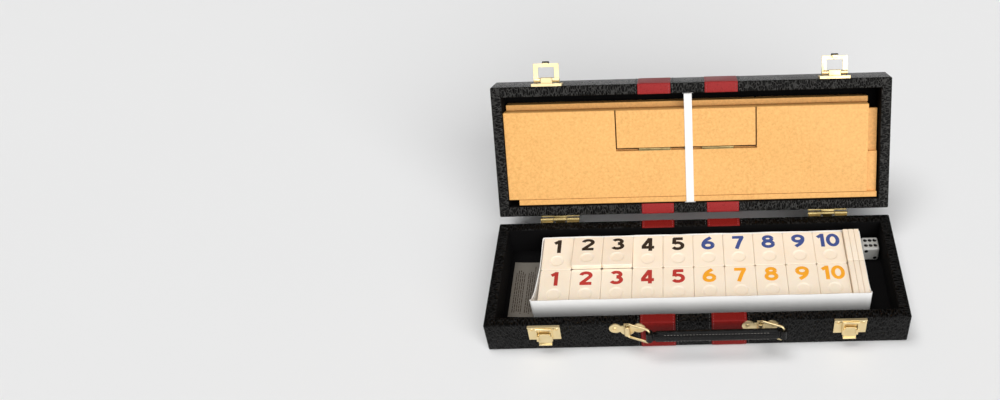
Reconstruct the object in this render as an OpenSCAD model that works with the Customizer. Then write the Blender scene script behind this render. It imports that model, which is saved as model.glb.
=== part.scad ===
// A slim case for a tile game, open, with its racks, tiles, tray, die and leaflet. Sizes in mm.

/* [Case] */
// Length of the case, left to right
case_w = 350; // [300:1:400]
// Depth of the case, front to rear
case_d = 118; // [112:1:140]
// Height of the lower half, floor to rim
base_h = 32; // [30:0.5:45]
// Height of the lid, rim to top
lid_h = 30.6; // [30:0.2:40]
// Gap between the two rims when the case is shut
rim_gap = 0.4; // [0.2:0.1:1]
// Thickness of a wall with its cover and lining
wall = 9; // [8:0.5:12]
// Thickness of the outer leatherette
skin = 0.8; // [0.5:0.1:1.2]
// Thickness of the inner lining
lining = 0.6; // [0.4:0.1:1]
// Thickness of the bottom and top panels
panel = 2.6; // [2:0.1:4]
// Radius of the upright corners
corner_r = 1.4; // [1:0.2:6]
// Distance of the hinge pin behind the rear face
pin_out = 3.2; // [3:0.1:4]
// Angle of the open lid
lid_open = 118; // [105:1:120]

/* [Stripes] */
// Width of each stripe
stripe_w = 28.8; // [20:0.2:40]
// Distance of each stripe's middle from the middle between them
stripe_x = 29.3; // [25:0.1:35]
// Offset of the stripes, the handle and the strap from the case's middle
middle_x = -2.6; // [-5:0.1:5]

/* [Hinges] */
// Length of each hinge along its pin
hinge_w = 34.5; // [28:0.5:45]
// Distance of each hinge's middle from the case's end
hinge_end = 54.5; // [40:0.5:80]
// Height of each leaf
leaf_h = 16; // [12:0.5:18]
// Thickness of each leaf
leaf_t = 1.2; // [1:0.1:1.4]
// Outer radius of the knuckles
knuckle_r = 1.6; // [1.4:0.1:2.5]
// Radius of the hinge pins
hinge_pin_r = 0.8; // [0.7:0.05:1]

/* [Latches] */
// Distance of each latch's middle from the case's end
latch_end = 49.5; // [36:0.5:75]
// Width of the latch plates
latch_w = 26.5; // [24:0.5:32]
// Height of the catch plate on the lower half
catch_h = 17; // [16:0.5:20]
// Height of the hasp plate on the lid
hasp_plate_h = 13; // [11:0.5:16]
// Thickness of both plates
plate_t = 1; // [0.8:0.1:1.2]
// Height of the hasp pin above the rim
hasp_pin_up = 5; // [4.5:0.1:6]
// Distance of the hasp pin from the front face
hasp_pin_out = 4.9; // [4.7:0.1:5.5]
// Length of the hasp from its pin to its free edge
hasp_len = 14.4; // [14:0.1:15]
// Width of the hasp
hasp_w = 22.4; // [20:0.2:26]
// Angle of the open hasp from its shut place
hasp_open = 95; // [60:1:120]
// Width of the catch tab
tab_w = 11; // [9:0.5:13]

/* [Handle] */
// Distance of each bracket from the middle between them
bracket_x = 54.4; // [45:0.1:65]
// Height of the handle's middle above the floor
handle_z = 26.2; // [24:0.2:26.6]
// Distance between the two pivots of a ring
ring_len = 19.6; // [17:0.2:24]
// Height of a ring
ring_h = 18; // [17:0.5:24]
// Thickness of the ring's wire
ring_wire = 1.9; // [1.6:0.1:2.2]
// Angle of the rings from straight out, in the stored place
ring_angle = 69; // [40:1:70]
// Height of the grip
grip_h = 11.8; // [10:0.2:13]
// Thickness of the grip
grip_t = 6.2; // [5:0.2:8]

/* [Tiles and tray] */
// Room left of the tray
left_room = 30.9; // [20:0.1:40]
// Room right of the tray, where the die lies
right_room = 19.3; // [18:0.1:30]
// Room in front of the tray
front_room = 15.45; // [8:0.05:20]
// Room behind the tray
rear_room = 6.4; // [3:0.1:12]
// Thickness of a tile
tile_t = 4.6; // [4:0.1:4.7]
// Space between neighbouring tiles
tile_gap = 0.35; // [0.2:0.05:0.5]
// Layers of tiles that lie flat
layers = 5; // [2:1:5]
// Thickness of the tray
tray_t = 0.8; // [0.6:0.1:1.2]
// Height of the tray's front wall above the tiles
tray_lip = 5.2; // [2:0.1:5.4]
// Diameter of the dimple in each tile
dimple_d = 12; // [8:0.2:16]
// Depth of the dimple
dimple_h = 0.4; // [0.2:0.1:0.8]
// Angle of the two top tiles that lie propped up at the front
tile_tilt = 6.5; // [0:0.5:7]
// Size of the die
die_s = 15; // [12:0.5:16]
// Width of the folded leaflet
leaflet_w = 62; // [40:1:80]
// Length of the folded leaflet
leaflet_l = 63; // [40:1:70]

/* [Racks] */
// Room along the lid that a rack leaves
rack_end_room = 10.5; // [4:0.1:40]
// Room across the lid that a rack leaves
rack_side_room = 20.6; // [20:0.1:24]
// Thickness of the rack boards
board_t = 3.9; // [3.4:0.1:3.9]
// Width of the tile rail
rail_w = 5; // [4:0.1:5]
// Gap between the tiers of two racks that lie in each other
tier_gap = 1.9; // [0.6:0.1:8]
// Width of the swing-out leg
leg_w = 123; // [80:1:140]
// Gap at each side of the leg
leg_gap = 1; // [0.3:0.1:1.5]
// Distance of the leg's hinge below the tier's edge
leg_down = 6; // [4:0.2:12]
// Width of the elastic strap
strap_w = 7; // [5:0.5:10]
// Width of the tabs that hold the strap
anchor_w = 10; // [8:0.5:16]
// Height of the tabs
anchor_h = 7; // [4:0.5:10]

/* [Hidden] */
$fn = 48;
// floor of the lower half, and the lid's rim and top
floor_z = skin + panel + lining;
lid_z = base_h + rim_gap;
top_z = lid_z + lid_h;
half_w = case_w / 2;
half_d = case_d / 2;
in_w = half_w - wall;
in_d = half_d - wall;
front = -half_d;
rear = half_d;
latch_x = half_w - latch_end;
hinge_x = half_w - hinge_end;
// hinge pins
pin_y = rear + pin_out;
pin_z = base_h;
knuckle_mid = 5.9;
clear = 0.3;
leaf_top = pin_z - knuckle_r - 0.4;
leaf_low = leaf_top - leaf_h;
leaf_screw_z = leaf_low + 6.5;
lid_leaf_low = pin_z + knuckle_r + 0.4;
lid_leaf_top = lid_leaf_low + leaf_h - 1;
lid_screw_z = lid_leaf_top - 6.5;
// fasteners
screw_r = 1;
screw_head_r = 1.9;
screw_head_h = 0.8;
screw_len = 6.5;
screw_dx = 10.2;
// latch
catch_top = base_h - 0.7;
catch_low = catch_top - catch_h;
catch_screw_z = catch_top - 3.8;
face_y = front - plate_t;
rail_in = tab_w / 2 + clear;
guide_out = tab_w / 2 + 1.1;
hasp_pin_y = front - hasp_pin_out;
hasp_pin_z = base_h + hasp_pin_up;
hasp_low = hasp_pin_z - hasp_len;
hasp_t = 1.2;
hasp_in_y = hasp_pin_y + hasp_t / 2;
tab_top = hasp_low - 0.9;
tab_low = catch_low - 4.5;
tab_out_y = face_y - 2.1;
lid_plate_low = lid_z + 0.3;
lid_plate_screw_z = lid_plate_low + 9.2;
// handle
bracket_t = 1.2;
ring_y = front - 2.9;
handle_dx = ring_len * sin(ring_angle);
handle_y = ring_y - ring_len * cos(ring_angle);
loop_r = 3;
core_h = grip_h - 3;
bracket_screw_dx = 10.4;
// contents of the lower half
leaflet_t = 0.3;
tray_z = floor_z + leaflet_t + 0.05;
tile_z = tray_z + tray_t;
tile_pz = tile_t + 0.02;
tiles_top = tile_z + layers * tile_pz;
tray_x0 = -in_w + left_room;
tray_x1 = in_w - right_room;
tray_y0 = -in_d + front_room;
tray_y1 = in_d - rear_room;
tray_play = 0.5;
end_px = tile_t + 0.15;
tiles_x = tray_x0 + tray_t + 2 * tray_play;
end_x = tray_x1 - tray_t - 0.4 - 2 * end_px - tile_t;
tile_px = (end_x - 0.2 - tiles_x) / 10;
tile_py = (tray_y1 - tray_y0 - 2 * tray_t - 2 * tray_play + tile_gap) / 2;
tile_w = tile_px - tile_gap;
tile_l = tile_py - tile_gap;
tiles_y = tray_y1 - tray_t - tray_play;
row_y = [tiles_y - tile_l, tiles_y - tile_l - tile_py];
tray_top = tiles_top + 0.2;
die_x = (tray_x1 + in_w) / 2 - die_s / 2;
die_y = tiles_y - die_s + 1.4;
// racks, counted from the lid's rim inwards
rack_len = 2 * in_w - rack_end_room;
rack_h = 2 * in_d - rack_side_room;
tier_h = (rack_h + rail_w + 0.3 - tier_gap) / 2;
leg_up = tier_h - leg_down;
rail_t = 2 * board_t;
pair_t = 3 * board_t + 0.15;
rack_a_w = 2.6;
rack_b_w = rack_a_w + pair_t;
rack_c_w = rack_b_w + 0.1;
rack_d_w = rack_c_w + pair_t;
rack_v = wall + 6.2;
rack_b_v = rack_v - rail_w - 0.3;
rack_d_y = half_d - rack_v - rack_h - 5;
rack_c_y = rack_d_y + rack_h + rail_w + 0.3;
rack_a_x = -in_w + 0.3;
rack_b_x = in_w - 1.3 - rack_len;
notch_h = leg_up + 1.4;
leg_pin_t = 2.8;
leg_pin_r = 1.1;
leg_hinge_x = 28;
leg_hinge_w = 28;
strap_t = 0.8;
strap_x = middle_x;
strap_z = lid_z + rack_a_w - 0.1 - strap_t;

// a rectangle about the middle with round corners
module round_rect(w, d, r) {
    union() {
        square([w - 2 * r, d], center = true);
        square([w, d - 2 * r], center = true);
        for (sx = [-1, 1], sy = [-1, 1])
            translate([sx * (w / 2 - r), sy * (d / 2 - r)]) circle(r = r);
    }
}

// puts a piece drawn with the lid shut where the open lid carries it
module on_lid() {
    translate([0, pin_y, pin_z]) rotate([-lid_open, 0, 0])
        translate([0, -pin_y, -pin_z]) children();
}

// turns a half of the case upside down, so the same parts make the lid
module as_lid() {
    translate([0, 0, top_z]) mirror([0, 0, 1]) children();
}

// the two stripes' places
module stripe_slots(h) {
    for (s = [-1, 1]) translate([middle_x + s * stripe_x - stripe_w / 2, -case_d, -1])
        cube([stripe_w, 2 * case_d, h + 2]);
}

// four wooden walls of one half
module half_frame(h) {
    wt = wall - lining;
    for (s = [-1, 1]) {
        linear_extrude(h - 2 * skin) intersection() {
            round_rect(case_w - 2 * skin, case_d - 2 * skin, corner_r - skin);
            translate([-half_w, s > 0 ? half_d - wt : -half_d]) square([case_w, wt]);
        }
        translate([s > 0 ? half_w - wt : -half_w + skin, -half_d + wt, 0])
            cube([wt - skin, case_d - 2 * wt, h - 2 * skin]);
    }
}

module half_panel() {
    translate([-in_w - lining, -in_d - lining, skin])
        cube([2 * (in_w + lining), 2 * (in_d + lining), panel]);
}

module half_lining(h) {
    z0 = skin + panel;
    difference() {
        translate([-in_w - lining, -in_d - lining, z0])
            cube([2 * (in_w + lining), 2 * (in_d + lining), h - skin - z0]);
        translate([-in_w, -in_d, floor_z]) cube([2 * in_w, 2 * in_d, h]);
    }
}

// side skin and rim of one half, cut where the stripes run
module half_cover(h) {
    difference() {
        translate([0, 0, skin]) linear_extrude(h - skin) round_rect(case_w, case_d, corner_r);
        translate([0, 0, -1]) linear_extrude(h + 1 - skin)
            round_rect(case_w - 2 * skin, case_d - 2 * skin, corner_r - skin);
        translate([-in_w, -in_d, -1]) cube([2 * in_w, 2 * in_d, h + 2]);
        stripe_slots(h);
    }
}

module half_flat(h) {
    difference() {
        linear_extrude(skin) round_rect(case_w, case_d, corner_r);
        stripe_slots(skin);
    }
}

// one stripe wraps the underside, both sides and both rims
module half_stripes(h) {
    z0 = 0.1;
    a = half_d;
    b = half_d - skin;
    for (s = [-1, 1])
        translate([middle_x + s * stripe_x - stripe_w / 2, 0, 0]) rotate([90, 0, 90])
        linear_extrude(stripe_w) polygon([[-a, z0], [a, z0], [a, h], [in_d, h],
            [in_d, h - skin], [b, h - skin], [b, skin], [-b, skin], [-b, h - skin],
            [-in_d, h - skin], [-in_d, h], [-a, h]]);
}

// a wood screw along +z with its head above the plane
module screw() {
    cylinder(r = screw_head_r, h = screw_head_h);
    translate([0, 0, -screw_len]) cylinder(r = screw_r, h = screw_len + screw_head_h / 2);
}
module screw_hole() {
    translate([0, 0, -screw_len]) cylinder(r = screw_r, h = screw_len + 4);
}
module front_at(x, y, z) { translate([x, y, z]) rotate([90, 0, 0]) children(); }
module rear_at(x, y, z) { translate([x, y, z]) rotate([-90, 0, 0]) children(); }

function bracket_at(s) = middle_x + s * bracket_x;

module base_screw_places() {
    for (s = [-1, 1]) {
        for (t = [-1, 1]) {
            front_at(s * latch_x + t * screw_dx, face_y, catch_screw_z) children();
            front_at(bracket_at(s) + t * bracket_screw_dx, front - bracket_t, handle_z)
                children();
            rear_at(s * hinge_x + t * screw_dx, rear + leaf_t, leaf_screw_z) children();
        }
    }
}
module lid_screw_places() {
    for (s = [-1, 1]) {
        for (t = [-1, 1]) {
            front_at(s * latch_x + t * screw_dx, face_y, lid_plate_screw_z) children();
            rear_at(s * hinge_x + t * screw_dx, rear + leaf_t, lid_screw_z) children();
        }
    }
}

module base_frame() {
    color("#8A5A33") difference() {
        translate([0, 0, skin]) half_frame(base_h);
        base_screw_places() screw_hole();
    }
}
module base_panel() { color("#8A5A33") half_panel(); }
module base_lining() { color("#0B0B0C") half_lining(base_h); }
module base_cover() {
    color("#161616") difference() {
        half_cover(base_h);
        base_screw_places() screw_hole();
    }
}
module base_bottom_cover() { color("#161616") half_flat(); }
module base_stripes() {
    color("#B0343A") difference() {
        half_stripes(base_h);
        base_screw_places() screw_hole();
    }
}

module lid_frame() {
    color("#8A5A33") on_lid() difference() {
        as_lid() translate([0, 0, skin]) half_frame(lid_h);
        lid_screw_places() screw_hole();
    }
}
module lid_panel() { color("#8A5A33") on_lid() as_lid() half_panel(); }
module lid_lining() { color("#0B0B0C") on_lid() as_lid() half_lining(lid_h); }
module lid_cover() {
    color("#161616") on_lid() difference() {
        as_lid() half_cover(lid_h);
        lid_screw_places() screw_hole();
    }
}
module lid_top_cover() { color("#161616") on_lid() as_lid() half_flat(); }
module lid_stripes() { color("#B0343A") on_lid() as_lid() half_stripes(lid_h); }

// hinges: two knuckles on the lower leaf, one with a stop on the lid's leaf
module pin_rod(x0, x1, r) {
    translate([x0, pin_y, pin_z]) rotate([0, 90, 0]) cylinder(r = r, h = x1 - x0);
}
module hinge_base() {
    w = hinge_w / 2;
    k = knuckle_mid + clear;
    difference() {
        union() {
            translate([-w, rear, leaf_low]) cube([hinge_w, leaf_t, leaf_h]);
            for (x = [-w, k]) {
                translate([x, rear, leaf_low]) cube([w - k, leaf_t, pin_z - 0.4 - leaf_low]);
                translate([x, rear, pin_z - 0.4 - leaf_t]) cube([w - k, pin_out, leaf_t]);
                pin_rod(x, x + w - k, knuckle_r);
            }
        }
        pin_rod(-w - 1, w + 1, hinge_pin_r);
        for (t = [-1, 1]) rear_at(t * screw_dx, rear + leaf_t, leaf_screw_z) screw_hole();
    }
}
module hinge_lid() {
    w = hinge_w / 2;
    k = knuckle_mid;
    difference() {
        union() {
            translate([-w, rear, lid_leaf_low])
                cube([hinge_w, leaf_t, lid_leaf_top - lid_leaf_low]);
            translate([-k, rear, lid_z + 0.2])
                cube([2 * k, leaf_t, lid_leaf_top - lid_z - 0.2]);
            translate([-k, rear, lid_z + 0.2]) cube([2 * k, pin_out, leaf_t]);
            pin_rod(-k, k, knuckle_r);
            translate([-4, pin_y, pin_z]) rotate([lid_open - 105, 0, 0])
                translate([0, 0.5, -0.6]) cube([8, 3.9, 1.2]);
        }
        pin_rod(-w, w, hinge_pin_r + 0.15);
        for (t = [-1, 1]) rear_at(t * screw_dx, rear + leaf_t, lid_screw_z) screw_hole();
    }
}
module hinge_base_left() { color("#D9B65F") translate([-hinge_x, 0, 0]) hinge_base(); }
module hinge_base_right() { color("#D9B65F") translate([hinge_x, 0, 0]) hinge_base(); }
module hinge_lid_left() { color("#D9B65F") on_lid() translate([-hinge_x, 0, 0]) hinge_lid(); }
module hinge_lid_right() { color("#D9B65F") on_lid() translate([hinge_x, 0, 0]) hinge_lid(); }
module hinge_pins() {
    color("#C9A44E") for (s = [-1, 1]) translate([s * hinge_x, 0, 0])
        pin_rod(-hinge_w / 2 - 0.5, hinge_w / 2 + 0.5, hinge_pin_r);
}
module base_screws() { color("#C9A44E") base_screw_places() screw(); }
module lid_screws() { color("#C9A44E") on_lid() lid_screw_places() screw(); }

// catch: a plate with two guides, and a sprung tab that slides down between them
module catch_plate(side) {
    difference() {
        union() {
            translate([-latch_w / 2, face_y, catch_low]) cube([latch_w, plate_t, catch_h]);
            translate([-latch_w / 2, face_y - 1.4, catch_top - 1]) cube([latch_w, 1.4, 1]);
            for (s = [-1, 1]) {
                translate([s > 0 ? rail_in : -guide_out, face_y - 2.4, catch_low + 0.7])
                    cube([guide_out - rail_in, 2.4, catch_h - 2.2]);
                translate([s > 0 ? rail_in - 1.1 : -guide_out, face_y - 3, catch_low + 0.7])
                    cube([guide_out - rail_in + 1.1, 0.6, tab_top - catch_low - 1.4]);
            }
            translate([-guide_out, face_y - 2.4, catch_top - 3.1])
                cube([2 * guide_out, 2.4, 1.6]);
        }
        for (t = [-1, 1]) front_at(t * screw_dx, face_y, catch_screw_z) screw_hole();
        front_at(-side * 7.9, face_y + 2, catch_top - 3.4) cylinder(r = 0.7, h = 4);
    }
}
module catch_tab() {
    w = tab_w / 2;
    union() {
        translate([-w, tab_out_y, tab_low])
            cube([tab_w, face_y - clear - tab_out_y, tab_top - tab_low]);
        translate([-4, tab_out_y, tab_top - 0.5]) cube([8, 0.6, 1.8]);
        translate([-w, tab_out_y - 1.2, tab_low]) cube([tab_w, 1.4, 1.1]);
    }
}
module catch_plate_left() { color("#E3C878") translate([-latch_x, 0, 0]) catch_plate(-1); }
module catch_plate_right() { color("#E3C878") translate([latch_x, 0, 0]) catch_plate(1); }
module catch_tab_left() { color("#EED58A") translate([-latch_x, 0, 0]) catch_tab(); }
module catch_tab_right() { color("#EED58A") translate([latch_x, 0, 0]) catch_tab(); }

// hasp: a plate with a block on the lid, and a hinged frame that snaps over the catch
module hasp_plate() {
    difference() {
        union() {
            translate([-latch_w / 2, face_y, lid_plate_low])
                cube([latch_w, plate_t, hasp_plate_h]);
            translate([-latch_w / 2, face_y - 1.4, lid_plate_low]) cube([latch_w, 1.4, 1]);
            translate([-4.9, hasp_pin_y - 2.1, hasp_pin_z - 2.1])
                cube([9.8, face_y - hasp_pin_y + 2.1, 4.2]);
        }
        for (t = [-1, 1]) front_at(t * screw_dx, face_y, lid_plate_screw_z) screw_hole();
        translate([-6, hasp_pin_y, hasp_pin_z]) rotate([0, 90, 0]) cylinder(r = 0.8, h = 12);
    }
}
module hasp() {
    w = hasp_w / 2;
    translate([0, hasp_pin_y, hasp_pin_z]) rotate([-hasp_open, 0, 0])
        translate([0, -hasp_pin_y, -hasp_pin_z]) difference() {
            union() {
                for (s = [-1, 1]) {
                    translate([s > 0 ? 5.2 : -w, hasp_pin_y, hasp_pin_z]) rotate([0, 90, 0])
                        cylinder(r = 1.9, h = w - 5.2);
                    translate([s > 0 ? w - 4.2 : -w, hasp_pin_y - hasp_t / 2, hasp_low])
                        cube([4.2, hasp_t, hasp_len]);
                }
                translate([-w, hasp_pin_y - hasp_t / 2, hasp_low]) cube([hasp_w, hasp_t, 3.2]);
                translate([-2.4, hasp_in_y - 0.2, hasp_low + 0.7])
                    cube([4.8, face_y - 0.5 - hasp_in_y + 0.2, 1]);
                translate([-2.4, face_y - 1.2, hasp_low - 0.6]) cube([4.8, 0.7, 2.3]);
            }
            translate([-w - 1, hasp_pin_y, hasp_pin_z]) rotate([0, 90, 0])
                cylinder(r = 0.95, h = hasp_w + 2);
        }
}
module hasp_plate_left() { color("#E3C878") on_lid() translate([-latch_x, 0, 0]) hasp_plate(); }
module hasp_plate_right() { color("#E3C878") on_lid() translate([latch_x, 0, 0]) hasp_plate(); }
module hasp_left() { color("#EED58A") on_lid() translate([-latch_x, 0, 0]) hasp(); }
module hasp_right() { color("#EED58A") on_lid() translate([latch_x, 0, 0]) hasp(); }
module hasp_pins() {
    color("#C9A44E") on_lid() for (s = [-1, 1])
        translate([s * latch_x - hasp_w / 2 - 0.3, hasp_pin_y, hasp_pin_z]) rotate([0, 90, 0])
            cylinder(r = 0.8, h = hasp_w + 0.6);
}

// handle: butterfly brackets, flat wire rings, a core with end loops and a padded grip
module bracket() {
    difference() {
        union() {
            translate([0, front, handle_z]) rotate([90, 0, 0]) linear_extrude(bracket_t)
                union() {
                    for (s = [-1, 1]) translate([s * 9.6, 0]) circle(r = 5.3);
                    translate([0, -2.4]) circle(r = 6);
                    translate([-9, -3.4]) square([18, 6.2]);
                }
            translate([0, ring_y, handle_z - 5.2]) cylinder(r = 2.6, h = 10.4);
            translate([-2.6, ring_y, handle_z - 5.2]) cube([5.2, front - ring_y, 10.4]);
        }
        translate([0, ring_y, handle_z - 12]) cylinder(r = 1.5, h = 24);
        for (t = [-1, 1]) front_at(t * bracket_screw_dx, front - bracket_t, handle_z)
            screw_hole();
    }
}
module ring(x) {
    h = ring_h;
    w = ring_wire;
    translate([x, ring_y, handle_z]) rotate([0, 0, ring_angle - 90]) rotate([90, 0, 0])
        linear_extrude(w, center = true) difference() {
            translate([ring_len / 2, 0]) round_rect(ring_len + w, h, 3.4);
            translate([ring_len / 2, 0]) round_rect(ring_len - w, h - 2 * w, 1.5);
        }
}
module bracket_left() { color("#E3C878") translate([bracket_at(-1), 0, 0]) bracket(); }
module bracket_right() { color("#E3C878") translate([bracket_at(1), 0, 0]) bracket(); }
module ring_left() { color("#EED58A") ring(bracket_at(-1)); }
module ring_right() { color("#EED58A") ring(bracket_at(1)); }
module core_bar() {
    translate([-bracket_x, -grip_t / 5, -core_h / 2])
        cube([2 * bracket_x, grip_t / 2.5, core_h]);
}
module handle_core() {
    color("#1A1A1A") translate([middle_x + handle_dx, handle_y, handle_z]) difference() {
        union() {
            core_bar();
            for (s = [-1, 1]) translate([s * bracket_x, 0, 1 - grip_h / 2])
                cylinder(r = loop_r, h = grip_h - 2);
        }
        for (s = [-1, 1]) translate([s * bracket_x, 0, -8]) cylinder(r = 1.6, h = 16);
    }
}
module handle_grip() {
    l = 2 * bracket_x - 2 * loop_r - 4;
    color("#121212") translate([middle_x + handle_dx, handle_y, handle_z]) difference() {
        translate([-l / 2, -grip_t / 2, -grip_h / 2]) cube([l, grip_t, grip_h]);
        core_bar();
    }
}

module leaflet() {
    color("#8E857B") translate([-in_w + 4, tray_y0 + 7, floor_z])
        cube([leaflet_w, leaflet_l, leaflet_t]);
}

// strap across the racks, and the tabs that hold its ends
module strap() {
    color("#F4F4F4") on_lid() translate([strap_x - strap_w / 2, -in_d + 0.8, strap_z])
        cube([strap_w, 2 * in_d - 1.6, strap_t]);
}
module strap_anchors() {
    color("#EDEDED") on_lid() for (s = [-1, 1])
        translate([strap_x - anchor_w / 2, s > 0 ? in_d - 0.6 : -in_d, strap_z + strap_t + 0.1])
            cube([anchor_w, 0.6, anchor_h]);
}

// a rack in its own frame: x along it, y up its face, z out of its face
module rack_frame() {
    m = rack_len / 2;
    difference() {
        translate([0, 0, -board_t]) cube([rack_len, rack_h, board_t]);
        translate([m - leg_w / 2 - leg_gap, -1, -board_t - 1])
            cube([leg_w + 2 * leg_gap, notch_h + 1, board_t + 2]);
    }
    cube([rack_len, rail_w, rail_t]);
    translate([0, rail_w, 0]) cube([rack_len, tier_h - rail_w, board_t]);
}
module rack_leg() {
    translate([rack_len / 2 - leg_w / 2, 0.2, -board_t])
        cube([leg_w, leg_up - 1.5, board_t - 0.15]);
}
module rack_hinges() {
    for (s = [-1, 1]) translate([rack_len / 2 + s * leg_hinge_x - leg_hinge_w / 2, 0, 0]) {
        translate([0, leg_up, -leg_pin_t]) rotate([0, 90, 0])
            cylinder(r = leg_pin_r, h = leg_hinge_w);
        translate([0, notch_h - 0.5, -board_t]) cube([leg_hinge_w, 0.5, board_t - 0.3]);
    }
}
// face_down racks show their backs, face_up racks lie in them
module face_down(x, v, w) {
    on_lid() translate([x, half_d - v - rack_h, lid_z + w + board_t]) children();
}
module face_up(x, v, w) {
    on_lid() translate([x, half_d - v, lid_z + w - board_t]) rotate([180, 0, 0]) children();
}
// the lower pair lies turned end for end, so its rail shows beyond the upper pair
module turned_down(x, y, w) {
    on_lid() translate([x + rack_len, y, lid_z + w + board_t]) rotate([0, 0, 180]) children();
}
module turned_up(x, y, w) {
    on_lid() translate([x + rack_len, y, lid_z + w - board_t]) rotate([180, 0, 180])
        children();
}
module place_a() { face_down(rack_a_x, rack_v, rack_a_w) children(); }
module place_b() { face_up(rack_b_x, rack_b_v, rack_b_w) children(); }
module place_c() { turned_down(rack_a_x + 0.5, rack_c_y, rack_c_w) children(); }
module place_d() { turned_up(rack_a_x + 1, rack_d_y, rack_d_w) children(); }
module rack_a_frame() { color("#E3B36C") place_a() rack_frame(); }
module rack_a_leg() { color("#E3B36C") place_a() rack_leg(); }
module rack_a_hinges() { color("#C9A44E") place_a() rack_hinges(); }
module rack_b_frame() { color("#E3B36C") place_b() rack_frame(); }
module rack_b_leg() { color("#E3B36C") place_b() rack_leg(); }
module rack_b_hinges() { color("#C9A44E") place_b() rack_hinges(); }
module rack_c_frame() { color("#E3B36C") place_c() rack_frame(); }
module rack_c_leg() { color("#E3B36C") place_c() rack_leg(); }
module rack_c_hinges() { color("#C9A44E") place_c() rack_hinges(); }
module rack_d_frame() { color("#E3B36C") place_d() rack_frame(); }
module rack_d_leg() { color("#E3B36C") place_d() rack_leg(); }
module rack_d_hinges() { color("#C9A44E") place_d() rack_hinges(); }

// thin tray, its end walls sloping up to the taller front wall
module tray_end(x, dip) {
    lip = tiles_top + tray_lip;
    translate([x, 0, 0]) rotate([90, 0, 90]) linear_extrude(tray_t)
        polygon([[tray_y0, tray_z], [tray_y1, tray_z], [tray_y1, tray_top],
            [tray_y1 - 14, tray_top - dip], [tray_y0 + 16, tray_top - dip],
            [tray_y0 + 5, tray_top + 0.6], [tray_y0, lip]]);
}
module tile_tray() {
    color("#F6F6F6") union() {
        translate([tray_x0, tray_y0, tray_z])
            cube([tray_x1 - tray_x0, tray_y1 - tray_y0, tray_t]);
        translate([tray_x0, tray_y0, tray_z])
            cube([tray_x1 - tray_x0, tray_t, tiles_top + tray_lip - tray_z]);
        translate([tray_x0, tray_y1 - tray_t, tray_z])
            cube([tray_x1 - tray_x0, tray_t, tray_top - tray_z]);
        tray_end(tray_x0, 1.6);
        tray_end(tray_x1 - tray_t, 0.8);
    }
}
module tile_at(col, row, layer) {
    translate([tiles_x + col * tile_px, row_y[row], tile_z + layer * tile_pz])
        cube([tile_w, tile_l, tile_t]);
}
module top_tile(col, row) {
    difference() {
        tile_at(col, row, layers - 1);
        translate([tiles_x + col * tile_px + tile_w / 2, row_y[row] + tile_l / 2 - 8.5,
            tiles_top - 0.02 - dimple_h]) cylinder(d = dimple_d, h = 2);
    }
}
// a top tile of the rear row turned about its lower rear edge
module propped_tile(col) {
    z = tile_z + (layers - 1) * tile_pz;
    translate([0, tiles_y - 0.2, z]) rotate([-tile_tilt, 0, 0]) translate([0, -tiles_y, -z])
        top_tile(col, 0);
}
module tiles_lower() {
    color("#EADFC8") for (l = [0 : layers - 2], r = [0, 1], c = [0 : 9]) tile_at(c, r, l);
}
module tiles_end() {
    color("#EADFC8") for (r = [0, 1], i = [0 : 2])
        translate([end_x + i * end_px, row_y[r], tile_z]) cube([tile_t, tile_l, tile_w]);
}
module tiles_black() {
    color("#EADFC8") for (c = [0 : 4])
        if (c == 1 || c == 2) propped_tile(c);
        else top_tile(c, 0);
}
module tiles_blue() { color("#EADFC8") for (c = [5 : 9]) top_tile(c, 0); }
module tiles_red() { color("#EADFC8") for (c = [0 : 4]) top_tile(c, 1); }
module tiles_orange() { color("#EADFC8") for (c = [5 : 9]) top_tile(c, 1); }
module die() { color("#F2F2F2") translate([die_x, die_y, floor_z]) cube(die_s); }

base_frame();
base_panel();
base_lining();
base_cover();
base_bottom_cover();
base_stripes();
hinge_base_left();
hinge_base_right();
hinge_pins();
base_screws();
catch_plate_left();
catch_plate_right();
catch_tab_left();
catch_tab_right();
bracket_left();
bracket_right();
ring_left();
ring_right();
handle_core();
handle_grip();
leaflet();
lid_frame();
lid_panel();
lid_lining();
lid_cover();
lid_top_cover();
lid_stripes();
hinge_lid_left();
hinge_lid_right();
lid_screws();
hasp_plate_left();
hasp_plate_right();
hasp_pins();
hasp_left();
hasp_right();
strap_anchors();
strap();
rack_a_frame();
rack_a_leg();
rack_a_hinges();
rack_b_frame();
rack_b_leg();
rack_b_hinges();
rack_c_frame();
rack_c_leg();
rack_c_hinges();
rack_d_frame();
rack_d_leg();
rack_d_hinges();
tile_tray();
tiles_lower();
tiles_end();
tiles_black();
tiles_blue();
tiles_red();
tiles_orange();
die();
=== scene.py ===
import bpy
import bmesh
import math
import numpy as np
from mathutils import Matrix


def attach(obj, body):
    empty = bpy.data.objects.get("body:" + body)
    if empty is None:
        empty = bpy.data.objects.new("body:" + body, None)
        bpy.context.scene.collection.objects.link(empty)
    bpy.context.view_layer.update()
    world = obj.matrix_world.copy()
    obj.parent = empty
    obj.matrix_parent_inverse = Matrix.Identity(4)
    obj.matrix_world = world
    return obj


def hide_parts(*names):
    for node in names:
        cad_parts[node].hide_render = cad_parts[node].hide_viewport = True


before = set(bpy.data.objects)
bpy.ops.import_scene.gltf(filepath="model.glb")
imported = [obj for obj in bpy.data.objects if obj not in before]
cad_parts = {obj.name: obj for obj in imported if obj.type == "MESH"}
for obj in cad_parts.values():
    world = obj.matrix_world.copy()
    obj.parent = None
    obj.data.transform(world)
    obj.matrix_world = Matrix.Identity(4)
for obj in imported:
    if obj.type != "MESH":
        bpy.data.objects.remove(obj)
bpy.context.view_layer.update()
print("tile case: frame loaded")

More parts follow.
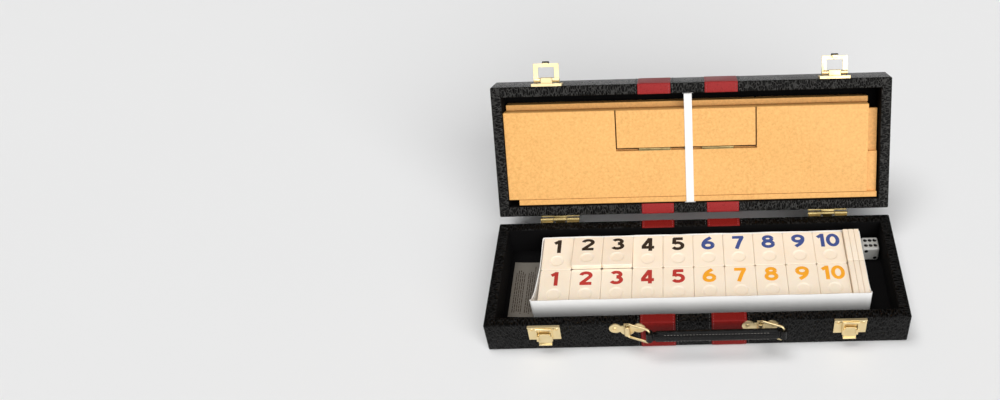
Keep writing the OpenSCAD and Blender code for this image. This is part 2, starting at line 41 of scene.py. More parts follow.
# everything below is worked out in millimetres, z up, and goes into the meshes in metres
caseSize = {
    "width": 350.0, "depth": 118.0, "baseHeight": 32.0, "lidRim": 32.4, "top": 63.0,
    "wall": 9.0, "cornerRadius": 1.4, "edgeRadius": 1.0,
    "pinY": 62.2, "pinZ": 32.0, "lidAngle": 118.0,
}


# ---- mesh helpers

def turnAbout(points, degrees, pinY, pinZ):
    # turns points about a line that runs along x
    a = math.radians(degrees)
    out = np.array(points, float)
    y, z = out[..., 1] - pinY, out[..., 2] - pinZ
    out[..., 1] = pinY + y * math.cos(a) - z * math.sin(a)
    out[..., 2] = pinZ + y * math.sin(a) + z * math.cos(a)
    return out


def openLid(points):
    # takes points drawn with the lid shut to where they are when it stands open
    return turnAbout(points, -caseSize["lidAngle"], caseSize["pinY"], caseSize["pinZ"])


def shutLid(points):
    return turnAbout(points, caseSize["lidAngle"], caseSize["pinY"], caseSize["pinZ"])


def gridQuads(rows, cols, closeRows=False, closeCols=False):
    r = np.arange(rows if closeRows else rows - 1)
    c = np.arange(cols if closeCols else cols - 1)
    rr, cc = np.meshgrid(r, c, indexing="ij")
    r2, c2 = (rr + 1) % rows, (cc + 1) % cols
    return np.stack([rr * cols + cc, rr * cols + c2, r2 * cols + c2, r2 * cols + cc], -1).reshape(-1, 4)


def gridPart(points, closeRows=False, closeCols=False):
    # points is rows by columns by xyz
    rows, cols = points.shape[:2]
    return points.reshape(-1, 3), gridQuads(rows, cols, closeRows, closeCols)


def repeatQuads(quads, count, pointsEach):
    return (quads[None] + (np.arange(count) * pointsEach)[:, None, None]).reshape(-1, 4)


def repeatPart(part, offsets):
    # the same part at many places, as one pair of arrays
    pts, quads = part
    allPts = (pts[None] + np.asarray(offsets, float)[:, None]).reshape(-1, 3)
    return allPts, repeatQuads(quads, len(offsets), len(pts))


def mergeParts(parts):
    pts, quads, start = [], [], 0
    for p, q in parts:
        pts.append(np.asarray(p, float))
        quads.append(np.asarray(q) + start)
        start += len(p)
    return np.concatenate(pts), np.concatenate(quads)


def smoothMesh(mesh, sharpAngle):
    mesh.polygons.foreach_set("use_smooth", np.ones(len(mesh.polygons), bool))
    mesh.set_sharp_from_angle(angle=math.radians(sharpAngle))


def closeMesh(mesh, sharpAngle, outward=True):
    # joins seams and poles, turns faces outwards and marks the hard edges
    bm = bmesh.new()
    bm.from_mesh(mesh)
    bmesh.ops.remove_doubles(bm, verts=bm.verts, dist=2e-6)
    bmesh.ops.dissolve_degenerate(bm, edges=bm.edges, dist=1e-7)
    if outward:
        bmesh.ops.recalc_face_normals(bm, faces=bm.faces)
    bm.to_mesh(mesh)
    bm.free()
    smoothMesh(mesh, sharpAngle)
    mesh.update()


def makePiece(name, parts, material, body, turn=None, replaced=(), sharpAngle=38, values=None, outward=True):
    pts, quads = mergeParts(parts if isinstance(parts, list) else [parts])
    if turn is not None:
        pts = turn(pts)
    mesh = bpy.data.meshes.new(name)
    mesh.vertices.add(len(pts))
    mesh.vertices.foreach_set("co", (pts * 0.001).astype(np.float32).ravel())
    mesh.loops.add(quads.size)
    mesh.loops.foreach_set("vertex_index", quads.astype(np.int32).ravel())
    mesh.polygons.add(len(quads))
    mesh.polygons.foreach_set("loop_start", np.arange(0, quads.size, 4, dtype=np.int32))
    mesh.update(calc_edges=True)
    for key, data in (values or {}).items():
        kind = "FLOAT" if data.ndim == 1 else "FLOAT_VECTOR"
        layer = mesh.attributes.new(name=key, type=kind, domain="POINT")
        layer.data.foreach_set("value" if data.ndim == 1 else "vector", data.astype(np.float32).ravel())
    closeMesh(mesh, sharpAngle, outward)
    obj = bpy.data.objects.new(name, mesh)
    bpy.context.scene.collection.objects.link(obj)
    mesh.materials.append(material)
    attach(obj, body)
    if replaced:
        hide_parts(*replaced)
    return obj


def softenNode(node, name, material, body, bevel=0.2, segments=2, angle=30):
    # a copy of a CAD node with merged faces and rounded edges
    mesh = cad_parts[node].data.copy()
    mesh.name = name
    mesh.materials.clear()
    bm = bmesh.new()
    bm.from_mesh(mesh)
    bmesh.ops.remove_doubles(bm, verts=bm.verts, dist=4e-6)
    bmesh.ops.dissolve_limit(bm, angle_limit=math.radians(1.0), verts=bm.verts, edges=bm.edges)
    bm.to_mesh(mesh)
    bm.free()
    smoothMesh(mesh, 38)
    obj = bpy.data.objects.new(name, mesh)
    bpy.context.scene.collection.objects.link(obj)
    mesh.materials.append(material)
    mod = obj.modifiers.new("roundedEdges", "BEVEL")
    mod.width = bevel * 0.001
    mod.segments = segments
    mod.limit_method = "ANGLE"
    mod.angle_limit = math.radians(angle)
    mod.harden_normals = True
    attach(obj, body)
    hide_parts(node)
    return obj


def axisLines(half, radius, steps, inner=()):
    # tangents of even angles round an edge, with any lines wanted on the flat
    t = (half - radius) + radius * np.tan(np.linspace(0, np.pi / 4, steps + 1))
    return np.unique(np.round(np.concatenate([-t, np.asarray(inner, float), t]), 5))


def roundedBox(centre, size, radius, steps=2, innerX=(), innerY=(), innerZ=(), dent=None):
    # each face is a grid; a point is pushed to the radius from the shrunken box inside it
    half = np.asarray(size, float) / 2
    lines = [axisLines(half[0], radius, steps, innerX), axisLines(half[1], radius, steps, innerY),
             axisLines(half[2], radius, steps, innerZ)]
    parts = []
    for a in range(3):
        b, c = (a + 1) % 3, (a + 2) % 3
        gb, gc = np.meshgrid(lines[b], lines[c], indexing="ij")
        for sign in (-1, 1):
            p = np.zeros(gb.shape + (3,))
            p[..., a], p[..., b], p[..., c] = sign * half[a], gb, gc
            core = np.clip(p, -(half - radius), half - radius)
            d = p - core
            p = core + radius * d / np.linalg.norm(d, axis=-1, keepdims=True)
            if dent is not None:
                p = dent(p, a, sign)
            parts.append(gridPart(p + np.asarray(centre, float)))
    return mergeParts(parts)


def sweepTube(path, radius, sides=12, closed=False, flat=1.0, up=(0, 0, 1)):
    # a circle, or an ellipse, carried along a path with a fixed up direction
    path = np.asarray(path, float)
    if closed:
        tangent = np.roll(path, -1, 0) - np.roll(path, 1, 0)
    else:
        tangent = np.gradient(path, axis=0)
    tangent /= np.linalg.norm(tangent, axis=1, keepdims=True)
    side = np.cross(tangent, np.asarray(up, float))
    side /= np.linalg.norm(side, axis=1, keepdims=True)
    top = np.cross(side, tangent)
    a = np.linspace(0, 2 * np.pi, sides, endpoint=False)
    r = np.broadcast_to(np.asarray(radius, float), (len(path),))[:, None, None]
    cos, sin = np.cos(a)[None, :, None], np.sin(a)[None, :, None]
    pts = path[:, None] + r * (cos * side[:, None] + flat * sin * top[:, None])
    if not closed:
        pts = np.concatenate([np.repeat(path[:1, None], sides, 1), pts, np.repeat(path[-1:, None], sides, 1)])
    return gridPart(pts, closeRows=closed, closeCols=True)


def arcPoints(cx, cy, rx, ry, start, end, count):
    a = np.radians(np.linspace(start, end, count))
    return np.stack([cx + rx * np.cos(a), cy + ry * np.sin(a)], -1)


# ---- materials

def addNode(tree, kind, inputs=None, **settings):
    made = tree.nodes.new(kind)
    for key, value in settings.items():
        setattr(made, key, value)
    for key, value in (inputs or {}).items():
        if isinstance(value, bpy.types.NodeSocket):
            tree.links.new(value, made.inputs[key])
        else:
            made.inputs[key].default_value = value
    return made


def mathNode(tree, kind, a, b=0.0, c=0.0):
    return addNode(tree, "ShaderNodeMath", {0: a, 1: b, 2: c}, operation=kind).outputs[0]


def noiseNode(tree, place, scale, detail, rough=0.5):
    inputs = {"Vector": place, "Scale": scale, "Detail": detail, "Roughness": rough}
    return addNode(tree, "ShaderNodeTexNoise", inputs).outputs


def scaleNode(tree, vector, scale):
    return addNode(tree, "ShaderNodeVectorMath", {0: vector, "Scale": scale}, operation="SCALE").outputs[0]


def splitNode(tree, vector):
    return addNode(tree, "ShaderNodeSeparateXYZ", {0: vector}).outputs


def remap(tree, value, low, high, outLow=0.0, outHigh=1.0, shape="LINEAR"):
    inputs = {0: value, 1: low, 2: high, 3: outLow, 4: outHigh}
    return addNode(tree, "ShaderNodeMapRange", inputs, interpolation_type=shape).outputs[0]


def mixColour(tree, mask, first, second):
    made = tree.nodes.new("ShaderNodeMix")
    made.data_type = "RGBA"
    for index, value in ((0, mask), (6, first), (7, second)):
        if isinstance(value, bpy.types.NodeSocket):
            tree.links.new(value, made.inputs[index])
        else:
            made.inputs[index].default_value = value if index == 0 else (*value, 1)
    return made.outputs[2]


def makeGroup(name, inputs, outputs):
    # an input without a value is a vector, and all the others are numbers
    tree = bpy.data.node_groups.new(name, "ShaderNodeTree")
    for label, value in inputs.items():
        kind = "NodeSocketVector" if value is None else "NodeSocketFloat"
        made = tree.interface.new_socket(name=label, in_out="INPUT", socket_type=kind)
        if value is not None:
            made.default_value = value
    for label in outputs:
        tree.interface.new_socket(name=label, in_out="OUTPUT", socket_type="NodeSocketFloat")
    return tree, tree.nodes.new("NodeGroupInput").outputs, tree.nodes.new("NodeGroupOutput").inputs


def useGroup(tree, group, **values):
    return addNode(tree, "ShaderNodeGroup", values, node_tree=group).outputs


def makePebbleGroup():
    # rounded grains between thin creases, bent a little by noise
    g, given, made = makeGroup("pebbleGrain", {"Vector": None, "Scale": 500.0, "Bend": 0.4}, ("Height", "Crease"))
    place = scaleNode(g, given["Vector"], given["Scale"])
    shift = scaleNode(g, noiseNode(g, place, 0.6, 2.0)["Color"], given["Bend"])
    bent = addNode(g, "ShaderNodeVectorMath", {0: place, 1: shift}, operation="ADD").outputs[0]
    cells = addNode(g, "ShaderNodeTexVoronoi", {"Vector": bent, "Scale": 1.0}, feature="DISTANCE_TO_EDGE")
    grain = remap(g, cells.outputs["Distance"], 0.0, 0.32, shape="SMOOTHSTEP")
    g.links.new(mathNode(g, "MULTIPLY_ADD", noiseNode(g, place, 3.5, 3.0)[0], 0.22, grain), made["Height"])
    g.links.new(remap(g, cells.outputs["Distance"], 0.0, 0.09, 1.0, 0.0), made["Crease"])
    return g


def makeTurnedGroup(pebble):
    # the vector is the shut case's place in millimetres: grains lie round on the flats
    # and long across the edges, where the cover is pulled over the wood
    inputs = {"Vector": None, "Half Width": 175.0, "Half Depth": 59.0, "Reach": 26.0, "Scale": 0.62}
    g, given, made = makeGroup("turnedLeather", inputs, ("Height", "Crease", "Flat"))
    xyz = splitNode(g, given["Vector"])
    fromEnd = mathNode(g, "SUBTRACT", given["Half Width"], mathNode(g, "ABSOLUTE", xyz[0]))
    fromFace = mathNode(g, "SUBTRACT", given["Half Depth"], mathNode(g, "ABSOLUTE", xyz[1]))
    atEnd = mathNode(g, "LESS_THAN", fromEnd, fromFace)
    reach = mathNode(g, "DIVIDE", mathNode(g, "MINIMUM", fromEnd, fromFace), given["Reach"])
    onFlat = remap(g, reach, 0.35, 1.0, shape="SMOOTHSTEP")
    found = []
    for stretch in ((1.15, 0.42, 0.42), (0.42, 1.15, 0.42), (0.9, 0.9, 0.9)):
        v = addNode(g, "ShaderNodeVectorMath", {0: given["Vector"], 1: stretch}, operation="MULTIPLY")
        found.append(useGroup(g, pebble, Vector=v.outputs[0], Scale=given["Scale"], Bend=0.9))
    for key in ("Height", "Crease"):
        first = addNode(g, "ShaderNodeMix", {0: atEnd, 2: found[0][key], 3: found[1][key]}).outputs[0]
        last = addNode(g, "ShaderNodeMix", {0: onFlat, 2: first, 3: found[2][key]}).outputs[0]
        g.links.new(last, made[key])
    g.links.new(onFlat, made["Flat"])
    return g


def makeCloudGroup():
    # broad soft variation and small specks, for handling marks and dust
    g, given, made = makeGroup("handlingMarks", {"Vector": None, "Scale": 20.0}, ("Cloud", "Specks"))
    place = scaleNode(g, given["Vector"], given["Scale"])
    g.links.new(remap(g, noiseNode(g, place, 1.0, 4.0, 0.6)[0], 0.3, 0.7), made["Cloud"])
    g.links.new(remap(g, noiseNode(g, place, 38.0, 2.0)[0], 0.66, 0.74), made["Specks"])
    return g


def makeBrushGroup():
    # fine streaks along x, broken by noise
    g, given, made = makeGroup("fineStreaks", {"Vector": None, "Scale": 900.0, "Stretch": 0.04}, ("Streak",))
    xyz = splitNode(g, given["Vector"])
    short = mathNode(g, "MULTIPLY", xyz[0], given["Stretch"])
    joined = addNode(g, "ShaderNodeCombineXYZ", {0: short, 1: xyz[1], 2: xyz[2]})
    g.links.new(noiseNode(g, joined.outputs[0], given["Scale"], 3.0, 0.65)[0], made["Streak"])
    return g


def makeWeaveGroup():
    # over-and-under threads: the product of two sine waves across the piece's own place values
    g, given, made = makeGroup("elasticWeave", {"Vector": None, "Across": 1.0, "Along": 1.0}, ("Height",))
    xyz = splitNode(g, given["Vector"])
    across, along = (mathNode(g, "SINE", mathNode(g, "MULTIPLY", xyz[out], given[rate]))
                     for out, rate in ((0, "Across"), (1, "Along")))
    ribs = mathNode(g, "MULTIPLY_ADD", across, 0.8, mathNode(g, "MULTIPLY", across, along))
    g.links.new(remap(g, ribs, -1.8, 1.8), made["Height"])
    return g


pebbleGrain = makePebbleGroup()
turnedLeather = makeTurnedGroup(pebbleGrain)
handlingMarks = makeCloudGroup()
fineStreaks = makeBrushGroup()
elasticWeave = makeWeaveGroup()


def startMaterial(name, **sockets):
    mat = bpy.data.materials.new(name)
    mat.use_nodes = True
    tree = mat.node_tree
    tree.nodes.clear()
    shader = tree.nodes.new("ShaderNodeBsdfPrincipled")
    out = tree.nodes.new("ShaderNodeOutputMaterial")
    tree.links.new(shader.outputs[0], out.inputs[0])
    for key, value in sockets.items():
        shader.inputs[key.replace("_", " ")].default_value = value
    return mat, tree, shader, tree.nodes.new("ShaderNodeTexCoord").outputs["Object"]


def dressShader(tree, shader, colour, rough, height=None, depth=0.0, strength=1.0):
    tree.links.new(colour, shader.inputs["Base Color"])
    tree.links.new(rough, shader.inputs["Roughness"])
    if height is not None:
        bump = addNode(tree, "ShaderNodeBump", {"Height": height, "Distance": depth, "Strength": strength})
        tree.links.new(bump.outputs[0], shader.inputs["Normal"])


def placeValue(tree, name, output="Vector"):
    return addNode(tree, "ShaderNodeAttribute", attribute_name=name).outputs[output]


def leatherMaterial(name, colour, creaseShade, scale, depth, rough, specular=0.5, specks=0.05, turned=False, paintedGlint=None):
    mat, tree, shader, coords = startMaterial(name, Specular_IOR_Level=specular)
    if turned:
        grain = useGroup(tree, turnedLeather, Vector=placeValue(tree, "shut"), Scale=scale)
    else:
        grain = useGroup(tree, pebbleGrain, Vector=coords, Scale=scale)
    marks = useGroup(tree, handlingMarks, Vector=coords, Scale=28.0)
    # the creases between the grains take a darker colour: painted shade
    base = mixColour(tree, grain["Crease"], colour, creaseShade)
    if paintedGlint:
        # painted highlight: the flanks of the wrinkles get broken paler strokes that stand for glints, fewer on the
        # flats
        paintedGlintMask = remap(tree, grain["Height"], 0.50, 0.14)
        paintedGlintShare = remap(tree, grain["Flat"], 0.0, 1.0, 1.0, 0.25)
        base = mixColour(tree, mathNode(tree, "MULTIPLY", paintedGlintMask, paintedGlintShare), base, paintedGlint)
    dusty = mathNode(tree, "MULTIPLY", marks["Specks"], specks)
    worn = mixColour(tree, dusty, base, tuple(min(1.0, c * 1.6 + 0.05) for c in colour))
    dressShader(tree, shader, worn, remap(tree, marks["Cloud"], 0.0, 1.0, *rough), grain["Height"], depth)
    return mat


def metalMaterial(name, colour, dark, rough, streakDepth=2e-6):
    mat, tree, shader, coords = startMaterial(name, Metallic=1.0)
    cloud = useGroup(tree, handlingMarks, Vector=coords, Scale=70.0)["Cloud"]
    streaks = useGroup(tree, fineStreaks, Vector=coords)[0]
    both = mathNode(tree, "MULTIPLY_ADD", streaks, 0.5, cloud)
    dressShader(tree, shader, mixColour(tree, cloud, colour, dark), remap(tree, both, 0.2, 1.4, *rough),
                streaks, streakDepth, 0.6)
    return mat


def plasticMaterial(name, colour, other, rough, bumpScale=1400.0, bumpDepth=6e-6, subsurface=0.0, specular=0.5):
    mat, tree, shader, coords = startMaterial(name, Specular_IOR_Level=specular, Subsurface_Weight=subsurface,
                                              Subsurface_Radius=(1.0, 0.7, 0.4), Subsurface_Scale=0.0012)
    cloud = useGroup(tree, handlingMarks, Vector=coords, Scale=45.0)["Cloud"]
    dressShader(tree, shader, mixColour(tree, cloud, colour, other), remap(tree, cloud, 0.0, 1.0, *rough),
                noiseNode(tree, coords, bumpScale, 2.0)[0], bumpDepth)
    return mat


def woodMaterial(name, light, dark, rough, grainScale=60.0, flecks=0.35):
    mat, tree, shader, coords = startMaterial(name, Coat_Weight=0.12, Coat_Roughness=0.3)
    streaks = useGroup(tree, fineStreaks, Vector=coords, Scale=grainScale, Stretch=0.12)[0]
    fibres = useGroup(tree, fineStreaks, Vector=coords, Scale=grainScale * 14, Stretch=0.15)[0]
    marks = useGroup(tree, handlingMarks, Vector=coords, Scale=16.0)
    broad = mixColour(tree, remap(tree, streaks, 0.35, 0.68), light, dark)
    tone = mixColour(tree, mathNode(tree, "MULTIPLY", marks["Cloud"], flecks), broad, tuple(c * 0.8 for c in dark))
    dressShader(tree, shader, tone, remap(tree, fibres, 0.3, 0.7, *rough), fibres, 2.5e-5, 0.5)
    return mat


def threadMaterial(name, colour, dark):
    mat, tree, shader, coords = startMaterial(name, Sheen_Weight=0.3)
    twist = addNode(tree, "ShaderNodeTexWave", {"Vector": coords, "Scale": 900.0, "Distortion": 2.0}).outputs["Fac"]
    # the grooves of the twist take the dark colour: painted shade between the fibres
    dressShader(tree, shader, mixColour(tree, twist, dark, colour), remap(tree, twist, 0.0, 1.0, 0.75, 0.5), twist, 4e-5)
    return mat


def boardMaterial():
    # pressed board: fine fibres with small dark flecks
    mat, tree, shader, coords = startMaterial("rackBoard", Specular_IOR_Level=0.3)
    fibre = noiseNode(tree, coords, 420.0, 5.0, 0.7)[0]
    marks = useGroup(tree, handlingMarks, Vector=coords, Scale=26.0)
    tone = mixColour(tree, remap(tree, fibre, 0.36, 0.66), (0.68, 0.345, 0.098), (0.88, 0.475, 0.155))
    for key, colour in (("Cloud", (0.82, 0.46, 0.15)), ("Specks", (0.42, 0.21, 0.06))):
        tone = mixColour(tree, mathNode(tree, "MULTIPLY", marks[key], 0.35), tone, colour)
    dressShader(tree, shader, tone, remap(tree, fibre, 0.3, 0.7, 0.45, 0.62), fibre, 3e-5, 0.6)
    return mat


def liningMaterial():
    mat, tree, shader, coords = startMaterial("liningNap", Specular_IOR_Level=0.12)
    nap = noiseNode(tree, coords, 2600.0, 3.0)[0]
    marks = useGroup(tree, handlingMarks, Vector=coords, Scale=22.0)
    tone = mixColour(tree, marks["Cloud"], (0.0018, 0.0016, 0.0018), (0.0032, 0.003, 0.0032))
    tone = mixColour(tree, mathNode(tree, "MULTIPLY", marks["Specks"], 0.12), tone, (0.05, 0.048, 0.045))
    dressShader(tree, shader, tone, remap(tree, nap, 0.3, 0.7, 0.85, 1.0), nap, 1.2e-4)
    return mat


def strapMaterial():
    # the piece's own place values run across and along the band, in millimetres
    mat, tree, shader, coords = startMaterial("strapElastic", Sheen_Weight=0.2)
    weave = useGroup(tree, elasticWeave, Vector=placeValue(tree, "place"), Across=9.0, Along=6.3)[0]
    # the low threads of the weave are greyer: painted shade between the threads
    tone = mixColour(tree, weave, (0.78, 0.77, 0.75), (0.95, 0.95, 0.94))
    dressShader(tree, shader, tone, remap(tree, weave, 0.0, 1.0, 0.85, 0.6), weave, 1.5e-4)
    return mat


def paperMaterial():
    mat, tree, shader, coords = startMaterial("leafletPaper")
    pulp = noiseNode(tree, coords, 700.0, 4.0)[0]
    # grey paper, made darker than its own tone as painted shade for the leaflet low in its well
    tone = mixColour(tree, pulp, (0.135, 0.12, 0.10), (0.19, 0.17, 0.142))
    dressShader(tree, shader, tone, remap(tree, pulp, 0.3, 0.7, 0.6, 0.75), pulp, 3e-5)
    return mat


def pipMaterial():
    # white plastic darkened to grey as painted shade for the die low in its well, with dark paint where the pip value
    # is high
    mat, tree, shader, coords = startMaterial("diePips", Coat_Weight=0.3, Coat_Roughness=0.1)
    cloud = useGroup(tree, handlingMarks, Vector=coords, Scale=60.0)["Cloud"]
    white = mixColour(tree, cloud, (0.50, 0.49, 0.465), (0.42, 0.415, 0.39))
    painted = mixColour(tree, remap(tree, placeValue(tree, "pip", "Fac"), 0.42, 0.58), white, (0.006, 0.006, 0.006))
    dressShader(tree, shader, painted, remap(tree, cloud, 0.0, 1.0, 0.18, 0.3))
    return mat


# one black leather in two copies: the lid's is paler with strong painted glints, painted light for its rims, and the
# base's is darker with faint painted glints, painted shade
leatherBasePaintedShade = leatherMaterial("leatherBasePaintedShade", (0.0012, 0.0011, 0.0010), (0.0012, 0.0011, 0.0010), 0.45, 6.0e-4,
                               (0.20, 0.30), specular=0.07, specks=0.02, turned=True, paintedGlint=(0.010, 0.0097, 0.0094))
leatherLidPaintedLight = leatherMaterial("leatherLidPaintedLight", (0.0016, 0.0015, 0.0014), (0.0016, 0.0015, 0.0014), 0.52, 6.0e-4,
                             (0.20, 0.30), specular=0.09, specks=0.02, turned=True, paintedGlint=(0.036, 0.035, 0.033))
leatherRed = leatherMaterial("leatherRed", (0.32, 0.022, 0.022), (0.20, 0.010, 0.011), 760.0, 5e-5,
                             (0.34, 0.48), specular=0.12, specks=0.02)
# a darker copy of the red for the base's stripes: painted shade, as the base's rims catch less light than the lid's
leatherRedBasePaintedShade = leatherMaterial("leatherRedBasePaintedShade", (0.205, 0.010, 0.008), (0.12, 0.004, 0.004), 760.0, 5e-5,
                                 (0.34, 0.48), specular=0.08, specks=0.02)
leatherGrip = leatherMaterial("leatherGrip", (0.0025, 0.0023, 0.0022), (0.001, 0.001, 0.001), 700.0, 1.2e-4,
                              (0.18, 0.28), specular=0.13)
threadRed = threadMaterial("threadRed", (0.42, 0.03, 0.035), (0.12, 0.006, 0.008))
threadBlack = threadMaterial("threadBlack", (0.045, 0.043, 0.040), (0.010, 0.010, 0.009))
threadPale = threadMaterial("threadPale", (0.30, 0.28, 0.25), (0.05, 0.045, 0.04))
brassPlate = metalMaterial("brassPlate", (0.90, 0.74, 0.43), (0.84, 0.67, 0.37), (0.34, 0.50))
brassBright = metalMaterial("brassBright", (0.88, 0.74, 0.44), (0.80, 0.64, 0.35), (0.32, 0.46))
# dark brass for the pins and the racks' hinges; on the case hinges, in the narrow gap between lid and base, its
# darkness is painted shade
brassDarkAndShade = metalMaterial("brassDarkAndShade", (0.40, 0.31, 0.14), (0.22, 0.165, 0.07), (0.34, 0.5))
frameWood = woodMaterial("frameWood", (0.50, 0.33, 0.18), (0.33, 0.20, 0.10), (0.5, 0.7), 90.0)
rackWood = boardMaterial()
tileIvory = plasticMaterial("tileIvory", (0.965, 0.85, 0.695), (0.935, 0.80, 0.635), (0.30, 0.42), subsurface=0.10,
                            specular=0.35)
trayPlastic = plasticMaterial("trayPlastic", (0.95, 0.94, 0.92), (0.90, 0.89, 0.87), (0.34, 0.48), bumpScale=500.0,
                              bumpDepth=2e-5, specular=0.35)
inkBlack, inkRed, inkBlue, inkOrange = (
    plasticMaterial(name, colour, other, (0.45, 0.6), specular=0.15)
    for name, colour, other in (("inkBlack", (0.026, 0.016, 0.010), (0.040, 0.026, 0.017)),
                                ("inkRed", (0.52, 0.045, 0.035), (0.44, 0.036, 0.03)),
                                ("inkBlue", (0.055, 0.095, 0.30), (0.045, 0.075, 0.25)),
                                ("inkOrange", (0.95, 0.42, 0.03), (0.86, 0.36, 0.025))))
liningNap = liningMaterial()
strapElastic = strapMaterial()
leafletPaper = paperMaterial()
diePips = pipMaterial()
print("tile case: materials made")


# ---- leather covers of both halves

coverLook = {"bellyLift": 0.36, "rimDrop": 0.4, "turnIn": 2.4, "rimInnerRadius": 0.7, "bottomRadius": 1.3}


def outlineRings(insets, halfX, halfY, radius, arcSteps=6, sideSteps=1):
    # a rectangle with round corners for each inset: corner centre plus radius times (cos, sin)
    insets = np.asarray(insets, float)[:, None]
    a, b = halfX - insets, halfY - insets
    r = np.maximum(radius - insets, 0.03)
    rows = []
    for quarter, (sx, sy) in enumerate(((1, 1), (-1, 1), (-1, -1), (1, -1))):
        t = np.radians(90 * quarter + np.linspace(0, 90, arcSteps + 1))[None]
        rows.append(np.stack([sx * (a - r) + r * np.cos(t), sy * (b - r) + r * np.sin(t)], -1))
    ring = np.concatenate(rows, 1)
    if sideSteps > 1:
        longer, n = [], arcSteps + 1
        for quarter in range(4):
            longer.append(ring[:, quarter * n:(quarter + 1) * n])
            p, q = ring[:, quarter * n + n - 1], ring[:, ((quarter + 1) * n) % (4 * n)]
            s = np.linspace(0, 1, sideSteps + 1)[1:-1][None, :, None]
            longer.append(p[:, None] * (1 - s) + q[:, None] * s)
        ring = np.concatenate(longer, 1)
    return ring


def shellProfile(height):
    # inset and z from the middle of the underside, round the edge, up the wall, over the rim and in
    low, edge, inner = coverLook["bottomRadius"], caseSize["edgeRadius"], coverLook["rimInnerRadius"]
    belly, height = coverLook["bellyLift"], height - coverLook["rimDrop"]
    wall = caseSize["wall"]
    t = np.radians(np.linspace(0, 90, 6))
    rows = [np.array([[caseSize["depth"] / 2 - 0.02, belly], [30.0, belly]]),
            np.stack([low - low * np.sin(t), belly + low - low * np.cos(t)], -1),
            np.stack([edge - edge * np.cos(t), height - edge + edge * np.sin(t)], -1),
            np.stack([wall - inner - 0.03 + inner * np.sin(t), height - inner + inner * np.cos(t)], -1),
            np.array([[wall - 0.03, height - coverLook["turnIn"]]])]
    return np.concatenate(rows)


def shellPart(height):
    profile = shellProfile(height)
    ring = outlineRings(profile[:, 0], caseSize["width"] / 2, caseSize["depth"] / 2, caseSize["cornerRadius"])
    z = np.broadcast_to(profile[:, 1][:, None, None], ring.shape[:2] + (1,))
    return gridPart(np.concatenate([ring, z], -1), closeCols=True)


def flipUp(points):
    # the lid's shell is drawn as a base, then stood on its head under the lid's top
    out = np.array(points, float)
    out[..., 2] = caseSize["top"] - out[..., 2]
    return openLid(out)


lidHeight = caseSize["top"] - caseSize["lidRim"]
baseShell, lidShell = shellPart(caseSize["baseHeight"]), shellPart(lidHeight)
makePiece("baseLeather", baseShell, leatherBasePaintedShade, "base", replaced=("base_cover", "base_bottom_cover"), sharpAngle=60,
          values={"shut": baseShell[0]})
makePiece("lidLeather", lidShell, leatherLidPaintedLight, "lid", turn=flipUp, replaced=("lid_cover", "lid_top_cover"), sharpAngle=60,
          values={"shut": lidShell[0]})


# ---- red stripes and their seams

stripeLook = {
    "centres": (-31.9, 26.7), "width": 28.8, "rise": 0.32, "seamFromEdge": 1.5,
    "stitchPitch": 2.7, "stitchLength": 1.9, "stitchRadius": 0.27, "outerSeam": 1.7,
}


def stripePath(height):
    # the shell's profile across the case: front rim, front, underside, rear, rear rim
    p = shellProfile(height)[1:-1]
    half = caseSize["depth"] / 2
    frontSide = np.stack([p[:, 0] - half, p[:, 1]], -1)[::-1]
    rearSide = np.stack([half - p[:, 0], p[:, 1]], -1)
    path = np.concatenate([frontSide, rearSide])
    keep = np.concatenate([[True], np.linalg.norm(np.diff(path, axis=0), axis=1) > 1e-4])
    return path[keep]


def pathNormals(path):
    # the outward side of a path walked front to rear under the case
    d = np.gradient(path, axis=0)
    seg = np.diff(path, axis=0)
    seg /= np.linalg.norm(seg, axis=1, keepdims=True)
    d[1:-1] = seg[:-1] + seg[1:]
    d[0], d[-1] = seg[0], seg[-1]
    d /= np.linalg.norm(d, axis=1, keepdims=True)
    return np.stack([d[:, 1], -d[:, 0]], -1)


def stripePart(height, centre):
    half, seam, rise = stripeLook["width"] / 2, stripeLook["seamFromEdge"], stripeLook["rise"]
    side = np.array([half, half - 0.08, half - 0.3, half - 0.7, half - seam + 0.5, half - seam, half - seam - 0.5,
                     half - seam - 1.6, half - seam - 4])
    up = np.array([-0.06, 0.16, 0.26, rise, rise, rise - 0.14, rise, rise + 0.02, rise])
    x = np.concatenate([-side, side[::-1]])
    h = np.concatenate([up, up[::-1]])
    path = stripePath(height)
    n = pathNormals(path)
    yz = path[:, None] + n[:, None] * h[None, :, None]
    xs = np.broadcast_to((centre + x)[None, :, None], yz.shape[:2] + (1,))
    pts = np.concatenate([xs, yz], -1)
    pts[..., 2] = np.maximum(pts[..., 2], 0.0)
    return gridPart(pts)


